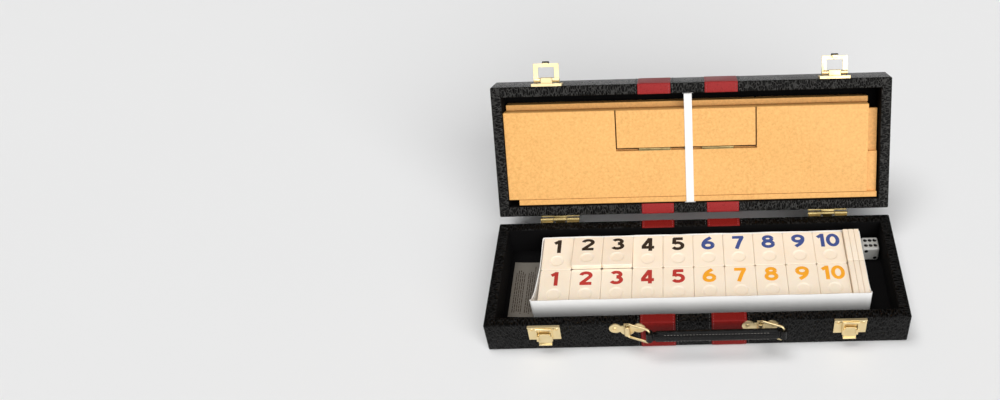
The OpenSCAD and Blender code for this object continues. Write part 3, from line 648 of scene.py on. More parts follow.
def stitchRow(height, x, lift, phase=0.0, lowest=0.67):
    # short capsules laid end to end along the stripe's path
    path = stripePath(height)
    length = np.concatenate([[0], np.cumsum(np.linalg.norm(np.diff(path, axis=0), axis=1))])
    s = np.arange(1.2 + phase, length[-1] - 1.0, stripeLook["stitchPitch"])
    y, z = np.interp(s, length, path[:, 0]), np.interp(s, length, path[:, 1])
    yA, zA = np.interp(s + 0.3, length, path[:, 0]), np.interp(s + 0.3, length, path[:, 1])
    t = np.stack([yA - y, zA - z], -1)
    t /= np.linalg.norm(t, axis=1, keepdims=True)
    n = np.stack([t[:, 1], -t[:, 0]], -1)
    keep = z + n[:, 1] * lift > lowest
    y, z, t, n = y[keep], z[keep], t[keep], n[keep]
    u = np.linspace(-1, 1, 6)
    a = np.linspace(0, 2 * np.pi, 6, endpoint=False)
    r = stripeLook["stitchRadius"] * np.sqrt(np.clip(1 - u ** 4, 0, 1))
    along = u * stripeLook["stitchLength"] / 2
    px = (r[:, None] * np.cos(a)[None])[None] + x + (along * 0.10)[None, :, None]
    off = lift + (r[:, None] * np.sin(a)[None])[None] - 0.12 * (u ** 2)[None, :, None]
    py = y[:, None, None] + t[:, None, None, 0] * along[None, :, None] + n[:, None, None, 0] * off
    pz = z[:, None, None] + t[:, None, None, 1] * along[None, :, None] + n[:, None, None, 1] * off
    pts = np.stack([np.broadcast_to(px, py.shape), py, pz], -1)
    return pts.reshape(-1, 3), repeatQuads(gridQuads(6, 6, closeCols=True), len(pts), 36)


def dressStripes(label, height, body, turn, red, lowest):
    half = stripeLook["width"] / 2
    makePiece(label + "Stripes", [stripePart(height, c) for c in stripeLook["centres"]], red, body,
              turn=turn, replaced=(label + "_stripes",), sharpAngle=60)
    redRows, blackRows = [], []
    for c in stripeLook["centres"]:
        for s in (-1, 1):
            redRows.append(stitchRow(height, c + s * (half - stripeLook["seamFromEdge"]),
                                     stripeLook["rise"] - 0.02, lowest=lowest))
            blackRows.append(stitchRow(height, c + s * (half + stripeLook["outerSeam"]), 0.14, 1.3, lowest))
    makePiece(label + "RedSeams", redRows, threadRed, body, turn=turn)
    makePiece(label + "BlackSeams", blackRows, threadBlack, body, turn=turn)


dressStripes("base", caseSize["baseHeight"], "base", None, leatherRedBasePaintedShade, 0.67)
dressStripes("lid", lidHeight, "lid", flipUp, leatherRed, -1.0)
print("tile case: leather, stripes and seams made")


# ---- wood and lining keep their CAD shapes

for plainName, plainMaterial in (("base_frame", frameWood), ("base_panel", frameWood), ("lid_frame", frameWood),
                                 ("lid_panel", frameWood), ("base_lining", liningNap), ("lid_lining", liningNap),
                                 ("hinge_pins", brassDarkAndShade), ("hasp_pins", brassDarkAndShade)):
    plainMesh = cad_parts[plainName].data
    plainMesh.materials.clear()
    plainMesh.materials.append(plainMaterial)


# ---- hinges, latches and brackets

brassEdges = {"hinge": 0.25, "plate": 0.3, "hasp": 0.3, "tab": 0.35, "bracket": 0.5}

for side in ("left", "right"):
    softenNode("hinge_base_" + side, "hingeBase." + side, brassDarkAndShade, "base", brassEdges["hinge"])
    softenNode("hinge_lid_" + side, "hingeLid." + side, brassDarkAndShade, "lid", brassEdges["hinge"])
    softenNode("catch_plate_" + side, "catchPlate." + side, brassPlate, "base", brassEdges["plate"])
    softenNode("catch_tab_" + side, "catchTab." + side, brassBright, "catch_tab_" + side, brassEdges["tab"], 3)
    softenNode("hasp_plate_" + side, "haspPlate." + side, brassPlate, "lid", brassEdges["plate"])
    softenNode("hasp_" + side, "hasp." + side, brassBright, "hasp_" + side, brassEdges["hasp"], 3)
    softenNode("bracket_" + side, "bracket." + side, brassPlate, "base", brassEdges["bracket"], 3)


# a dark cap over the tab at the end of each hasp: painted shade for the dark spot on the tab
shadeCapLook = {"x": 125.5, "y": -64.2, "z": 22.2, "size": (6.2, 1.7, 2.9), "round": 0.7,
           "pinY": -63.9, "pinZ": 37.0, "turn": 95.0}


def turnHasp(points):
    # the hasp hangs turned up about its own pin, then follows the open lid
    return openLid(turnAbout(points, -shadeCapLook["turn"], shadeCapLook["pinY"], shadeCapLook["pinZ"]))


capPaintedShade = plasticMaterial("capPaintedShade", (0.008, 0.008, 0.008), (0.014, 0.013, 0.013), (0.3, 0.45), specular=0.25)
for side, sign in (("left", -1), ("right", 1)):
    shadeCapCentre = (sign * shadeCapLook["x"], shadeCapLook["y"], shadeCapLook["z"])
    makePiece("haspShadeCap." + side, roundedBox(shadeCapCentre, shadeCapLook["size"], shadeCapLook["round"], 3), capPaintedShade,
              "hasp_" + side, turn=turnHasp)


screwLook = {"radius": 1.95, "rise": 0.85, "slotHalf": 0.3, "slotReach": 1.15, "slotDepth": 0.45}


def screwHead(centre, axis, turned):
    # rise times (1 - (r/R)^2.4) over the disc, less a cross cut near the middle
    radius, rise = screwLook["radius"], screwLook["rise"]
    r = np.array([0.0, 0.25, 0.5, 0.8, 1.05, 1.2, 1.45, 1.7, 1.88, radius, radius])[:, None]
    a = np.linspace(0, 2 * np.pi, 40, endpoint=False)[None]
    x, y = r * np.cos(a), r * np.sin(a)
    h = rise * (1 - (r / radius) ** 2.4) + 0 * a
    h[-2] = 0.16
    h[-1] = -0.05
    cx, cy = x * math.cos(turned) - y * math.sin(turned), x * math.sin(turned) + y * math.cos(turned)
    cut = (np.minimum(np.abs(cx), np.abs(cy)) < screwLook["slotHalf"]) & (r < screwLook["slotReach"])
    h = h - cut * screwLook["slotDepth"]
    axis = np.asarray(axis, float)
    side = np.array([1.0, 0, 0])
    other = np.cross(axis, side)
    pts = np.asarray(centre, float) + x[..., None] * side + y[..., None] * other + h[..., None] * axis
    return gridPart(pts, closeCols=True)


def screwRows(places):
    parts = []
    for index, (x, y, z, ny) in enumerate(places):
        parts.append(screwHead((x, y, z), (0, ny, 0), 0.5 + index * 1.9))
    return parts


def screwPlaces(rows):
    return [(s * x + shift + t * apart, y, z, ny) for s in (-1, 1) for t in (-1, 1)
            for x, shift, apart, y, z, ny in rows]


# middle of each pair, its shift, half the distance between the two, y, z, and the side they face
baseScrewPairs = ((125.5, 0.0, 10.2, -60.0, 27.5, -1), (54.4, -2.6, 10.4, -60.2, 26.2, -1),
                  (120.5, 0.0, 10.2, 60.2, 20.5, 1))
lidScrewPairs = ((125.5, 0.0, 10.2, -60.0, 41.9, -1), (120.5, 0.0, 10.2, 60.2, 42.5, 1))
makePiece("baseScrewHeads", screwRows(screwPlaces(baseScrewPairs)), brassPlate, "base",
          replaced=("base_screws",), sharpAngle=30)
makePiece("lidScrewHeads", screwRows(screwPlaces(lidScrewPairs)), brassPlate, "lid", turn=openLid,
          replaced=("lid_screws",), sharpAngle=30)
print("tile case: brass fittings made")


# ---- handle: wire rings, leather ends and padded grip

handleLook = {
    "ringLength": 19.6, "ringHeight": 16.1, "wireRadius": 0.98, "ringCorner": 2.6, "ringAngle": 69.0,
    "middleX": -2.6, "pivotX": 54.4, "pivotY": -61.9, "z": 26.2, "gripLength": 100.5, "gripThick": 6.2,
    "gripTall": 11.8, "stitchPitch": 2.6, "stitchHalf": 0.85, "stitchRadius": 0.26, "seamHeight": 3.9, "seamDepth": 2.28,
}


def ringPart(x):
    # a round-cornered rectangle in the ring's own plane, one long side in the bracket
    l, h, c = handleLook["ringLength"] / 2, handleLook["ringHeight"] / 2, handleLook["ringCorner"]
    flat = outlineRings([0], l, h, c, 8)[0]
    a = math.radians(handleLook["ringAngle"])
    along = np.array([math.sin(a), -math.cos(a), 0])
    pivot = np.array([x, handleLook["pivotY"], handleLook["z"]])
    path = pivot + (flat[:, :1] + l) * along + flat[:, 1:] * np.array([0, 0, 1.0])
    return sweepTube(path, handleLook["wireRadius"], 14, closed=True, up=np.cross(along, (0, 0, 1)))


for side, sign in (("left", -1), ("right", 1)):
    makePiece("ringWire." + side, ringPart(handleLook["middleX"] + sign * handleLook["pivotX"]), brassBright,
              "ring_" + side, replaced=("ring_" + side,))

handleAngle = math.radians(handleLook["ringAngle"])
handleMid = np.array([handleLook["middleX"] + handleLook["ringLength"] * math.sin(handleAngle),
                      handleLook["pivotY"] - handleLook["ringLength"] * math.cos(handleAngle), handleLook["z"]])


def gripSection(count=64):
    # superellipse with two sewn grooves near its upper and lower edges
    a = np.linspace(0, 2 * np.pi, count, endpoint=False)
    y = handleLook["gripThick"] / 2 * np.sign(np.cos(a)) * np.abs(np.cos(a)) ** 0.62
    z = handleLook["gripTall"] / 2 * np.sign(np.sin(a)) * np.abs(np.sin(a)) ** 0.62
    groove = np.exp(-((np.abs(z) - handleLook["seamHeight"]) / 0.45) ** 2)
    rim = np.clip((np.abs(z) - 4.3) / 1.2, 0, 1)
    return y * (1 - 0.22 * groove) * (1 - 0.35 * rim), z


def gripPart():
    # the section carried along x, drawn in towards both ends and closed there
    y, z = gripSection()
    half = handleLook["gripLength"] / 2
    u = np.concatenate([[-1, -0.998, -0.99, -0.975], np.linspace(-0.95, 0.95, 58), [0.975, 0.99, 0.998, 1]])
    end = np.clip((1 - np.abs(u)) / 0.05, 0, 1)
    scale = np.sqrt(np.clip(1 - (1 - end) ** 2, 0, 1)) * 0.35 + 0.65
    scale[0] = scale[-1] = 0.0
    belly = 1 + 0.05 * np.cos(u * math.pi / 2) + 0.008 * np.sin(u * 37) * np.cos(u * 11)
    px = np.broadcast_to((u * half)[:, None], (len(u), len(y)))
    py = (scale * belly)[:, None] * y[None] * 0.96
    pz = (0.12 + 0.88 * scale)[:, None] * z[None]
    pz[0] = pz[-1] = 0.0
    return gridPart(np.stack([px, py, pz], -1) + handleMid, closeCols=True)


def gripStitches():
    # pale thread in the grooves, front and back, above and below
    count = int(handleLook["gripLength"] * 0.86 / handleLook["stitchPitch"])
    x = (np.arange(count) - (count - 1) / 2) * handleLook["stitchPitch"]
    u = np.linspace(-1, 1, 6)
    a = np.linspace(0, 2 * np.pi, 6, endpoint=False)
    r = handleLook["stitchRadius"] * np.sqrt(np.clip(1 - u ** 4, 0, 1))
    along = np.broadcast_to((u * handleLook["stitchHalf"])[:, None], (6, 6))
    pts = np.stack([along, r[:, None] * np.cos(a)[None], r[:, None] * np.sin(a)[None]], -1)
    one = gridPart(pts, closeCols=True)
    places = [(v, sy * handleLook["seamDepth"], sz * handleLook["seamHeight"])
              for v in x for sy in (-1, 1) for sz in (-1, 1)]
    return repeatPart(one, np.array(places) + handleMid)


grip = makePiece("leatherGripPad", gripPart(), leatherGrip, "handle", replaced=("handle_grip",), sharpAngle=70)
makePiece("gripStitches", gripStitches(), threadPale, "handle")
softenNode("handle_core", "gripEnds", leatherGrip, "handle", 0.9, 3)
print("tile case: handle made")


# ---- thin white tray

trayLook = {"left": -135.1, "right": 146.7, "front": -34.55, "rear": 43.6, "bottom": 4.35, "sheet": 0.8,
            "rear top": 28.45, "lip": 33.45, "cornerRadius": 2.0, "flare": 4.2,
            "endPlaces": (0, 2.5, 6, 16, 60, 78), "endHeights": (29.4, 27.2, 26.9)}


def trayTop(x, y):
    # height of the edge: lip along the front, a dip down the ends, level at the rear
    fy = y - trayLook["front"]
    heights = [trayLook["lip"], trayLook["lip"] - 0.6, *trayLook["endHeights"], trayLook["rear top"]]
    top = np.interp(fy, trayLook["endPlaces"], heights)
    wave = 0.18 * np.sin(x * 0.11) + 0.12 * np.sin(x * 0.27 + y * 0.2)
    return top + wave


def trayPart():
    halfX, halfY = (trayLook["right"] - trayLook["left"]) / 2, (trayLook["rear"] - trayLook["front"]) / 2
    cx, cy = (trayLook["right"] + trayLook["left"]) / 2, (trayLook["rear"] + trayLook["front"]) / 2
    t = trayLook["sheet"]
    # outer floor and wall, over the edge, inner wall and floor; -2 marks the edge, -1 is just under it
    insets = np.array([halfY - 0.02, 1.4, 0.5, 0.1, 0, 0, 0, 0.12,
                       t - 0.12, t, t, t + 0.1, t + 0.5, t + 1.2, halfY - 0.02])
    level = np.array([0, 0, 0.2, 0.7, 1.4, 5.0, -1, -2, -2, -1, 5.0, 1.6, 1.1, t, t])
    ring = outlineRings(insets, halfX, halfY, trayLook["cornerRadius"], 4, 44)
    ring[..., 0] += cx
    ring[..., 1] += cy
    top = trayTop(ring[..., 0], ring[..., 1])
    z = trayLook["bottom"] + np.broadcast_to(level[:, None], top.shape)
    z = np.where(level[:, None] == -1, top - 0.2, z)
    z = np.where(level[:, None] == -2, top, z)
    z = np.maximum(z, trayLook["bottom"])
    # the left end is pulled out towards the front, more at its top
    front = np.clip((12 - ring[..., 1]) / 46, 0, 1) ** 1.4
    leftEnd = np.clip((trayLook["left"] + 16 - ring[..., 0]) / 16, 0, 1) ** 2
    ring[..., 0] -= trayLook["flare"] * front * leftEnd * (0.75 + 0.25 * (z - trayLook["bottom"]) / 28)
    return gridPart(np.concatenate([ring, z[..., None]], -1), closeCols=True)


makePiece("tileTray", trayPart(), trayPlastic, "tray", replaced=("tile_tray",), sharpAngle=50)


# ---- tiles and their numbers

tileLook = {
    "width": 26.1, "length": 37.6, "thick": 4.6, "pitchX": 26.45, "pitchY": 37.95, "pitchZ": 4.62,
    "firstX": -133.3, "rearY": 42.3, "firstZ": 5.15, "edge": 0.6, "swell": 0.11, "cornerRadius": 1.7,
    "dimpleRadius": 6.1, "dimpleDepth": 0.5, "dimpleBack": 8.5, "layers": 5, "numberTall": 15.5, "numberTop": 2.5,
    "strokeWidth": 3.5, "proppedColumns": (1, 2), "proppedAngle": 6.5, "proppedShift": 0.2,
}


def tileCentre(col, row, layer):
    return np.array([tileLook["firstX"] + col * tileLook["pitchX"] + tileLook["width"] / 2,
                     tileLook["rearY"] - tileLook["length"] / 2 - row * tileLook["pitchY"],
                     tileLook["firstZ"] + layer * tileLook["pitchZ"] + tileLook["thick"] / 2])


def dimpleDent(p, axis, sign):
    # a dish with a soft raised rim: depth falls from the rim to a flat floor
    if axis == 2 and sign == 1:
        r = np.hypot(p[..., 0], p[..., 1] + tileLook["dimpleBack"]) / tileLook["dimpleRadius"]
        t = np.clip((1.0 - r) / 0.16, 0, 1)
        p[..., 2] -= tileLook["dimpleDepth"] * t * t * (3 - 2 * t)
        p[..., 2] += 0.10 * np.exp(-((r - 1.06) / 0.07) ** 2)
    return p


def numberStrokes(digit):
    # centre lines of one figure in a box 15.5 tall, half a stroke inside its edges
    top, low = 13.8, 1.7
    straight = lambda *p: np.array(p, float).reshape(-1, 2)
    shapes = {
        "0": [arcPoints(0, 7.75, 4.2, 6.05, 0, 360, 48)],
        "1": [straight(0.9, 15.5, 0.9, 0.0), straight(1.6, 14.2, -0.9, 13.0, -3.3, 11.4)],
        "2": [np.concatenate([arcPoints(-0.1, 10.8, 4.1, 3.05, 172, -32, 24), straight(-3.4, 2.3)]),
              straight(-5.1, low, 5.1, low)],
        "3": [arcPoints(-0.4, 11.15, 3.7, 2.65, 155, -86, 26), arcPoints(-0.4, 4.95, 4.3, 3.25, 86, -155, 28)],
        "4": [straight(1.6, 15.0, -4.2, 5.2), straight(-5.5, 4.3, 5.5, 4.3), straight(2.1, 15.5, 2.1, 0.0)],
        "5": [straight(-3.9, top, 4.4, top), straight(-3.0, 14.6, -3.5, 7.4),
              arcPoints(-0.4, 5.35, 4.4, 3.65, 132, -150, 30)],
        "6": [arcPoints(0, 5.05, 4.2, 3.35, 0, 360, 40),
              np.concatenate([straight(2.6, 14.4), arcPoints(4.4, 4.9, 8.6, 8.9, 116, 178, 16)])],
        "7": [straight(-4.9, top, 5.0, top), straight(3.9, 14.2, 1.2, 8.0, -1.5, 0.0)],
        "8": [arcPoints(0, 11.25, 3.4, 2.55, 0, 360, 36), arcPoints(0, 4.95, 4.25, 3.25, 0, 360, 40)],
    }
    if digit == "9":
        return [np.array([0, 15.5]) - line for line in numberStrokes("6")]
    return shapes[digit]


def inkRibbon(line, width):
    # a low rounded ribbon on the tile's face, its ends cut square
    d = np.gradient(line, axis=0)
    d /= np.linalg.norm(d, axis=1, keepdims=True)
    n = np.stack([-d[:, 1], d[:, 0]], -1)
    across = np.array([-1, -0.94, -0.7, 0, 0.7, 0.94, 1]) * width / 2
    rise = np.array([-0.05, 0.035, 0.06, 0.07, 0.06, 0.035, -0.05])
    xy = line[:, None] + n[:, None] * across[None, :, None]
    z = np.broadcast_to(rise[None, :, None], xy.shape[:2] + (1,))
    return gridPart(np.concatenate([xy, z], -1))


def numberPart(text):
    parts = []
    shifts = {1: [0.0], 2: [-6.0, 4.0]}[len(text)]
    for digit, dx in zip(text, shifts):
        for line in numberStrokes(digit):
            if len(line) < 8:   # more points on straight strokes, for the tilt and the ends
                s = np.linspace(0, len(line) - 1, 9)
                line = np.stack([np.interp(s, np.arange(len(line)), line[:, k]) for k in (0, 1)], -1)
            pts, quads = inkRibbon(line, tileLook["strokeWidth"])
            parts.append((pts + np.array([dx, 0, 0]), quads))
    pts, quads = mergeParts(parts)
    y0 = tileLook["length"] / 2 - tileLook["numberTop"] - tileLook["numberTall"]
    return pts + np.array([0, y0, tileLook["thick"] / 2]), quads


tileFaceLinesX = np.linspace(-7.6, 7.6, 25)
tileFaceLinesY = np.concatenate([np.linspace(-16.1, -0.9, 25), [6, 12]])
tileSize = np.array([tileLook["width"] + 2 * tileLook["swell"], tileLook["length"] + 2 * tileLook["swell"], tileLook["thick"]])


def roundCorners(part, size, radius):
    # each square corner is pressed into a quarter circle: scaled by its longer side over its diagonal
    pts, quads = part
    out = pts.copy()
    core = np.asarray(size[:2]) / 2 - radius
    over = np.clip((np.abs(pts[:, :2]) - core) / radius, 0, None)
    diagonal = np.hypot(over[:, 0], over[:, 1])
    scale = np.where(diagonal > 1e-9, over.max(1) / np.maximum(diagonal, 1e-9), 1.0)
    both = (over > 0).all(1)
    moved = np.sign(pts[:, :2]) * (core + over * scale[:, None] * radius)
    out[:, :2] = np.where(both[:, None], moved, pts[:, :2])
    return out, quads


cornerLines = np.linspace(0.2, 1.0, 4) * tileLook["cornerRadius"]
cornerX, cornerY = (np.concatenate([cornerLines - half, half - cornerLines]) for half in tileSize[:2] / 2)
faceX, faceY = np.concatenate([tileFaceLinesX, cornerX]), np.concatenate([tileFaceLinesY, cornerY])
facedBox = roundedBox((0, 0, 0), tileSize, tileLook["edge"], 3, innerX=faceX, innerY=faceY, dent=dimpleDent)
plainBox = roundedBox((0, 0, 0), tileSize, tileLook["edge"], 2, innerX=cornerX, innerY=cornerY)
facedTile, plainTile = (roundCorners(box, tileSize, tileLook["cornerRadius"]) for box in (facedBox, plainBox))


def settleTile(part, col, row, layer):
    # every tile lies a hair off its place, and two are propped up at the front
    pts, quads = part
    seed = np.random.default_rng(1000 * layer + 20 * row + col)
    a = math.radians(seed.uniform(-0.12, 0.12))
    turn = np.array([[math.cos(a), -math.sin(a), 0], [math.sin(a), math.cos(a), 0], [0, 0, 1]])
    nudge = np.array([seed.uniform(-0.04, 0.04), seed.uniform(-0.04, 0.04), 0])
    out = pts @ turn.T + tileCentre(col, row, layer) + nudge
    if layer == tileLook["layers"] - 1 and row == 0 and col in tileLook["proppedColumns"]:
        under = tileLook["firstZ"] + layer * tileLook["pitchZ"]
        out = turnAbout(out, -tileLook["proppedAngle"], tileLook["rearY"], under)
        out[:, 1] -= tileLook["proppedShift"]
    return out, quads


runLooks = (("black", 0, range(0, 5), inkBlack), ("blue", 0, range(5, 10), inkBlue),
            ("red", 1, range(0, 5), inkRed), ("orange", 1, range(5, 10), inkOrange))
for runName, runRow, runCols, runInk in runLooks:
    tileParts, inkParts = [], []
    for col in runCols:
        tileParts.append(settleTile(facedTile, col, runRow, tileLook["layers"] - 1))
        inkParts.append(settleTile(numberPart(str(col + 1)), col, runRow, tileLook["layers"] - 1))
    makePiece("tiles." + runName, tileParts, tileIvory, "run_" + runName, replaced=("tiles_" + runName,), sharpAngle=50)
    makePiece("numbers." + runName, inkParts, runInk, "run_" + runName, sharpAngle=60, outward=False)

lowerParts = [settleTile(plainTile, col, row, layer) for layer in range(tileLook["layers"] - 1)
              for row in (0, 1) for col in range(10)]
makePiece("tiles.lower", lowerParts, tileIvory, "tray", replaced=("tiles_lower",), sharpAngle=50)

endTile = roundedBox((0, 0, 0), (tileLook["thick"], tileLook["length"], tileLook["width"]), tileLook["edge"], 3)
endPlaces = [(131.4 + i * 4.75 + 2.3, tileLook["rearY"] - tileLook["length"] / 2 - row * tileLook["pitchY"],
              tileLook["firstZ"] + tileLook["width"] / 2) for row in (0, 1) for i in (0, 1, 2)]
makePiece("tiles.end", repeatPart(endTile, endPlaces), tileIvory, "tray", replaced=("tiles_end",), sharpAngle=50)
print("tile case: tray and tiles made")


# ---- die

dieLook = {"size": 15.0, "x": 156.35, "y": 36.2, "bottom": 4.0, "edge": 2.0,
           "pipRadius": 1.75, "pipDepth": 0.6, "spread": 4.2, "sixSpread": 0.72}


def diePart():
    half = dieLook["size"] / 2
    s = dieLook["spread"]
    rising, falling, middle = [(-s, -s), (s, s)], [(-s, s), (s, -s)], [(0, 0)]
    six = [(x, y * dieLook["sixSpread"]) for x in (-s, 0, s) for y in (-s, s)]
    faces = {(2, 1): six, (2, -1): middle, (1, -1): falling, (1, 1): rising + falling + middle,
             (0, 1): rising + middle, (0, -1): rising + falling}
    lines = np.linspace(-half + dieLook["edge"], half - dieLook["edge"], 46)
    marks = []

    def pipDent(p, axis, sign):
        # a shallow bowl under each pip; the pip value is 1 inside its circle
        b, c = (axis + 1) % 3, (axis + 2) % 3
        spots = np.array([(q, r) if axis != 1 else (r, q) for q, r in faces[(axis, sign)]])
        d = np.hypot(p[..., b][..., None] - spots[:, 0], p[..., c][..., None] - spots[:, 1]).min(-1)
        r = d / dieLook["pipRadius"]
        p[..., axis] -= sign * dieLook["pipDepth"] * np.sqrt(np.clip(1 - r * r, 0, 1))
        marks.append(np.clip(1.5 - r, 0, 1).ravel())
        return p

    part = roundedBox((dieLook["x"], dieLook["y"], dieLook["bottom"] + half), (dieLook["size"],) * 3, dieLook["edge"], 4,
                      innerX=lines, innerY=lines, innerZ=lines, dent=pipDent)
    return part, np.concatenate(marks)


dieShape, dieMarks = diePart()
makePiece("dieCube", dieShape, diePips, "die", replaced=("die",), sharpAngle=50, values={"pip": dieMarks})


# ---- leaflet with generic bars of print

leafletLook = {"left": -162.0, "right": -100.0, "front": -27.55, "rear": 35.45, "bottom": 4.02, "thick": 0.28,
               "curl": 0.9, "curlReach": 22, "tuckedX": -140, "ripple": 0.05, "barHalf": 0.36, "barLift": 0.035,
               "blankLine": 5}


def leafletLift(x, y):
    # the free edge curls up by the square of its distance from the tucked part, with a faint ripple
    out = leafletLook["tuckedX"] - x
    curl = leafletLook["curl"] * np.clip(out / leafletLook["curlReach"], 0, 1) ** 2
    return curl + leafletLook["ripple"] * np.sin(y * 0.2) * (out > 0)


def leafletPart():
    x = np.linspace(leafletLook["left"], leafletLook["right"], 40)
    y = np.linspace(leafletLook["front"], leafletLook["rear"], 12)
    gx, gy = np.meshgrid(x, y, indexing="ij")
    low = np.maximum(leafletLook["bottom"] + leafletLift(gx, gy), leafletLook["bottom"])
    sheets = [np.stack([gx, gy, z], -1) for z in (low, low + leafletLook["thick"])]
    rims = [np.stack([sheet[cut] for sheet in sheets])
            for cut in (0, -1, (slice(None), 0), (slice(None), -1))]
    return [gridPart(part) for part in sheets + rims]


def printBars():
    # bars of no meaning stand for words, in lines that run from front to back
    rng = np.random.default_rng(7)
    parts = []
    for k, x in enumerate(np.arange(leafletLook["left"] + 3.0, leafletLook["left"] + 21.0, 1.8)):
        if k == leafletLook["blankLine"]:
            continue
        start, stop = leafletLook["front"] + rng.uniform(3, 6), leafletLook["rear"] - rng.uniform(3, 14)
        while start < stop - 1.2:
            end = min(stop, start + rng.uniform(1.2, 5.0))
            y = np.linspace(start, end, 4)
            rows = []
            for dx in (-leafletLook["barHalf"], leafletLook["barHalf"]):
                across = np.full_like(y, x + dx)
                z = leafletLook["bottom"] + leafletLift(across, y) + leafletLook["thick"] + leafletLook["barLift"]
                rows.append(np.stack([across, y, z], -1))
            parts.append(gridPart(np.stack(rows)))
            start = end + rng.uniform(0.5, 0.9)
    return parts


makePiece("leafletSheet", leafletPart(), leafletPaper, "base", replaced=("leaflet",), sharpAngle=50)
makePiece("leafletBars", printBars(), inkBlack, "base", outward=False)
print("tile case: die and leaflet made")


# ---- racks and strap in the lid

rackEdges = {"board": 0.4, "leg": 0.35, "hinge": 0.15}
for letter in "abcd":
    softenNode("rack_%s_frame" % letter, "rackBoard." + letter, rackWood, "rack_" + letter, rackEdges["board"])
    softenNode("rack_%s_leg" % letter, "rackLeg." + letter, rackWood, "rack_%s_leg" % letter, rackEdges["leg"])
    softenNode("rack_%s_hinges" % letter, "rackHinge." + letter, brassDarkAndShade, "rack_" + letter, rackEdges["hinge"])

cutShade = plasticMaterial("cutShade", (0.020, 0.008, 0.003), (0.032, 0.014, 0.005), (0.7, 0.8), specular=0.1)


cutLook = {"near": 0.06, "far": 0.94, "rear": 0.98, "deep": (0.45, 2.2), "round": 0.15}


def legCutShade(letter):
    # painted shade: a dark sliver lies in the saw cut round a leg, in its two sides and its hinge side
    pts = np.array([tuple(v.co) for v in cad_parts["rack_%s_leg" % letter].data.vertices]) * 1000
    shut = shutLid(pts)
    low, high = shut.min(0), shut.max(0)
    near, far = cutLook["near"], cutLook["far"]
    start, stop = (low[2] + d for d in cutLook["deep"])
    slots = ((low[0] - far, low[0] - near, low[1], high[1]), (high[0] + near, high[0] + far, low[1], high[1]),
             (low[0] - far, high[0] + far, high[1] + near, high[1] + cutLook["rear"]))
    return [roundedBox(((x0 + x1) / 2, (y0 + y1) / 2, (start + stop) / 2), (x1 - x0, y1 - y0, stop - start),
                       cutLook["round"], 1) for x0, x1, y0, y1 in slots]


makePiece("rackCutShade.a", legCutShade("a"), cutShade, "rack_a", turn=openLid)

strapLook = {"x": -2.6, "width": 7.0, "thick": 0.7, "z": 34.15, "front": -49.2, "rear": 49.2,
             "tabY": 49.68, "tabLow": 35.05, "tabHigh": 41.9, "tabWidth": 9.6, "tabThick": 0.56}


def bandPart(path, width, thick, x, sides=20):
    # a flat band with round sides, carried along a path in the y-z plane
    # place is the distance across and along the band, in millimetres
    a = np.linspace(0, 2 * np.pi, sides, endpoint=False)
    bx = width / 2 * np.sign(np.cos(a)) * np.abs(np.cos(a)) ** 0.35
    bh = thick / 2 * np.sign(np.sin(a)) * np.abs(np.sin(a)) ** 0.7
    n = pathNormals(path)
    s = np.concatenate([[0], np.cumsum(np.linalg.norm(np.diff(path, axis=0), axis=1))])
    yz = path[:, None] + n[:, None] * bh[None, :, None]
    pts = np.concatenate([np.broadcast_to((x + bx)[None, :, None], yz.shape[:2] + (1,)), yz], -1)
    place = np.stack([np.broadcast_to(bx[None], pts.shape[:2]), np.broadcast_to(s[:, None], pts.shape[:2]),
                      np.zeros(pts.shape[:2])], -1)
    endA, endB = (end.mean(1, keepdims=True).repeat(sides, 1) for end in (pts[:1], pts[-1:]))
    place = np.concatenate([place[:1], place, place[-1:]]).reshape(-1, 3)
    return gridPart(np.concatenate([endA, pts, endB]), closeCols=True), place


strapY = np.linspace(strapLook["front"], strapLook["rear"], 90)
strapPath = np.stack([strapY, strapLook["z"] + strapLook["thick"] / 2 + 0.03 * np.sin(strapY * 0.3)], -1)
strapShape, strapPlace = bandPart(strapPath, strapLook["width"], strapLook["thick"], strapLook["x"])
makePiece("elasticStrap", strapShape, strapElastic, "strap", turn=openLid, replaced=("strap",), sharpAngle=70,
          values={"place": strapPlace})

anchorParts, anchorPlaces = [], []
for s in (-1, 1):
    tabZ = np.linspace(strapLook["tabLow"], strapLook["tabHigh"], 12)
    tabPath = np.stack([np.full_like(tabZ, s * strapLook["tabY"]), tabZ], -1)
    shape, place = bandPart(tabPath, strapLook["tabWidth"], strapLook["tabThick"], strapLook["x"])
    anchorParts.append(shape)
    anchorPlaces.append(place)
makePiece("strapTabs", anchorParts, strapElastic, "lid", turn=openLid, replaced=("strap_anchors",), sharpAngle=70,
          values={"place": np.concatenate(anchorPlaces)})
print("tile case: racks and strap made")


# ---- floor, light and camera

studio = {
    "floorTone": 0.86, "worldStrength": 0.06,
    # name, turn to the right of the front, height above the floor, strength, width of the source (degrees)
    "lights": (("frontKey", 24.0, 30.0, 2.95, 60.0), ("topKey", -100.0, 77.0, 1.4, 30.0)),
}


def makeFloor():
    x, y = np.meshgrid(np.linspace(-6, 6, 3), np.linspace(-4, 9, 3), indexing="ij")
    mesh = bpy.data.meshes.new("studioFloor")
    pts, quads = gridPart(np.stack([x, y, np.full_like(x, -0.0002)], -1))
    mesh.from_pydata(pts.tolist(), [], quads[:, ::-1].tolist())
    mat, tree, shader, coords = startMaterial("studioPaper", Roughness=0.9)
    tone = studio["floorTone"]
    paper = mixColour(tree, noiseNode(tree, coords, 3.0, 2.0)[0], (tone,) * 3, (tone * 0.985,) * 3)
    tree.links.new(paper, shader.inputs["Base Color"])
    mesh.materials.append(mat)
    obj = bpy.data.objects.new("studioFloor", mesh)
    bpy.context.scene.collection.objects.link(obj)


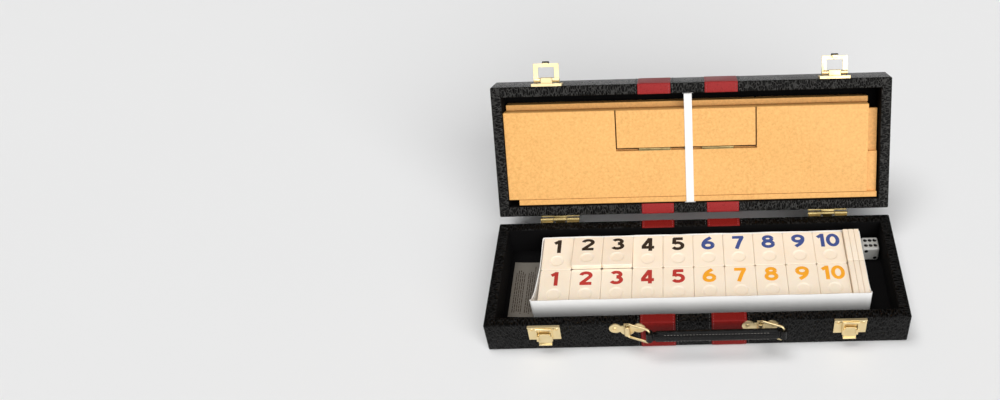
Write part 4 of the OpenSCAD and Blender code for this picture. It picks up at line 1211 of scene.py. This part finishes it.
def placeObject(obj, place, right, up, forward):
    from mathutils import Matrix
    rows = [[right[i], up[i], -forward[i], place[i]] for i in range(3)] + [[0, 0, 0, 1]]
    obj.matrix_world = Matrix(rows)


def makeLights():
    for name, turn, height, power, width in studio["lights"]:
        data = bpy.data.lights.new(name, "SUN")
        data.energy = power
        data.angle = math.radians(width)
        obj = bpy.data.objects.new(name, data)
        bpy.context.scene.collection.objects.link(obj)
        t, h = math.radians(turn), math.radians(height)
        forward = -np.array([math.sin(t) * math.cos(h), -math.cos(t) * math.cos(h), math.sin(h)])
        right = np.cross(forward, (0, 0, 1))
        right /= np.linalg.norm(right)
        placeObject(obj, -forward, right, np.cross(right, forward), forward)
    world = bpy.data.worlds.new("studioWorld")
    world.use_nodes = True
    world.node_tree.nodes["Background"].inputs[0].default_value = (1, 1, 1, 1)
    world.node_tree.nodes["Background"].inputs[1].default_value = studio["worldStrength"]
    bpy.context.scene.world = world


viewpoint = {
    "place": (-0.0041, -0.5735, 0.6683), "turn": -1.43, "down": 44.23, "roll": -2.44,
    "lens": 35.9, "shiftX": -0.1708, "shiftY": 0.003,
}


def makeCamera():
    # the photograph's view, as found by fitting the case's corners
    az, el, roll = (math.radians(viewpoint[k]) for k in ("turn", "down", "roll"))
    forward = np.array([math.sin(az) * math.cos(el), math.cos(az) * math.cos(el), -math.sin(el)])
    right = np.array([math.cos(az), -math.sin(az), 0])
    up = np.cross(right, forward)
    rolledRight = math.cos(roll) * right + math.sin(roll) * up
    rolledUp = -math.sin(roll) * right + math.cos(roll) * up
    data = bpy.data.cameras.new("photoView")
    data.lens = viewpoint["lens"]
    data.sensor_width = 36.0
    data.sensor_fit = "HORIZONTAL"
    data.shift_x, data.shift_y = viewpoint["shiftX"], viewpoint["shiftY"]
    data.clip_start, data.clip_end = 0.01, 50
    obj = bpy.data.objects.new("photoView", data)
    bpy.context.scene.collection.objects.link(obj)
    placeObject(obj, viewpoint["place"], rolledRight, rolledUp, forward)
    bpy.context.scene.camera = obj


makeFloor()
makeLights()
makeCamera()
bpy.context.scene.view_settings.view_transform = "Standard"
print("tile case: studio ready")
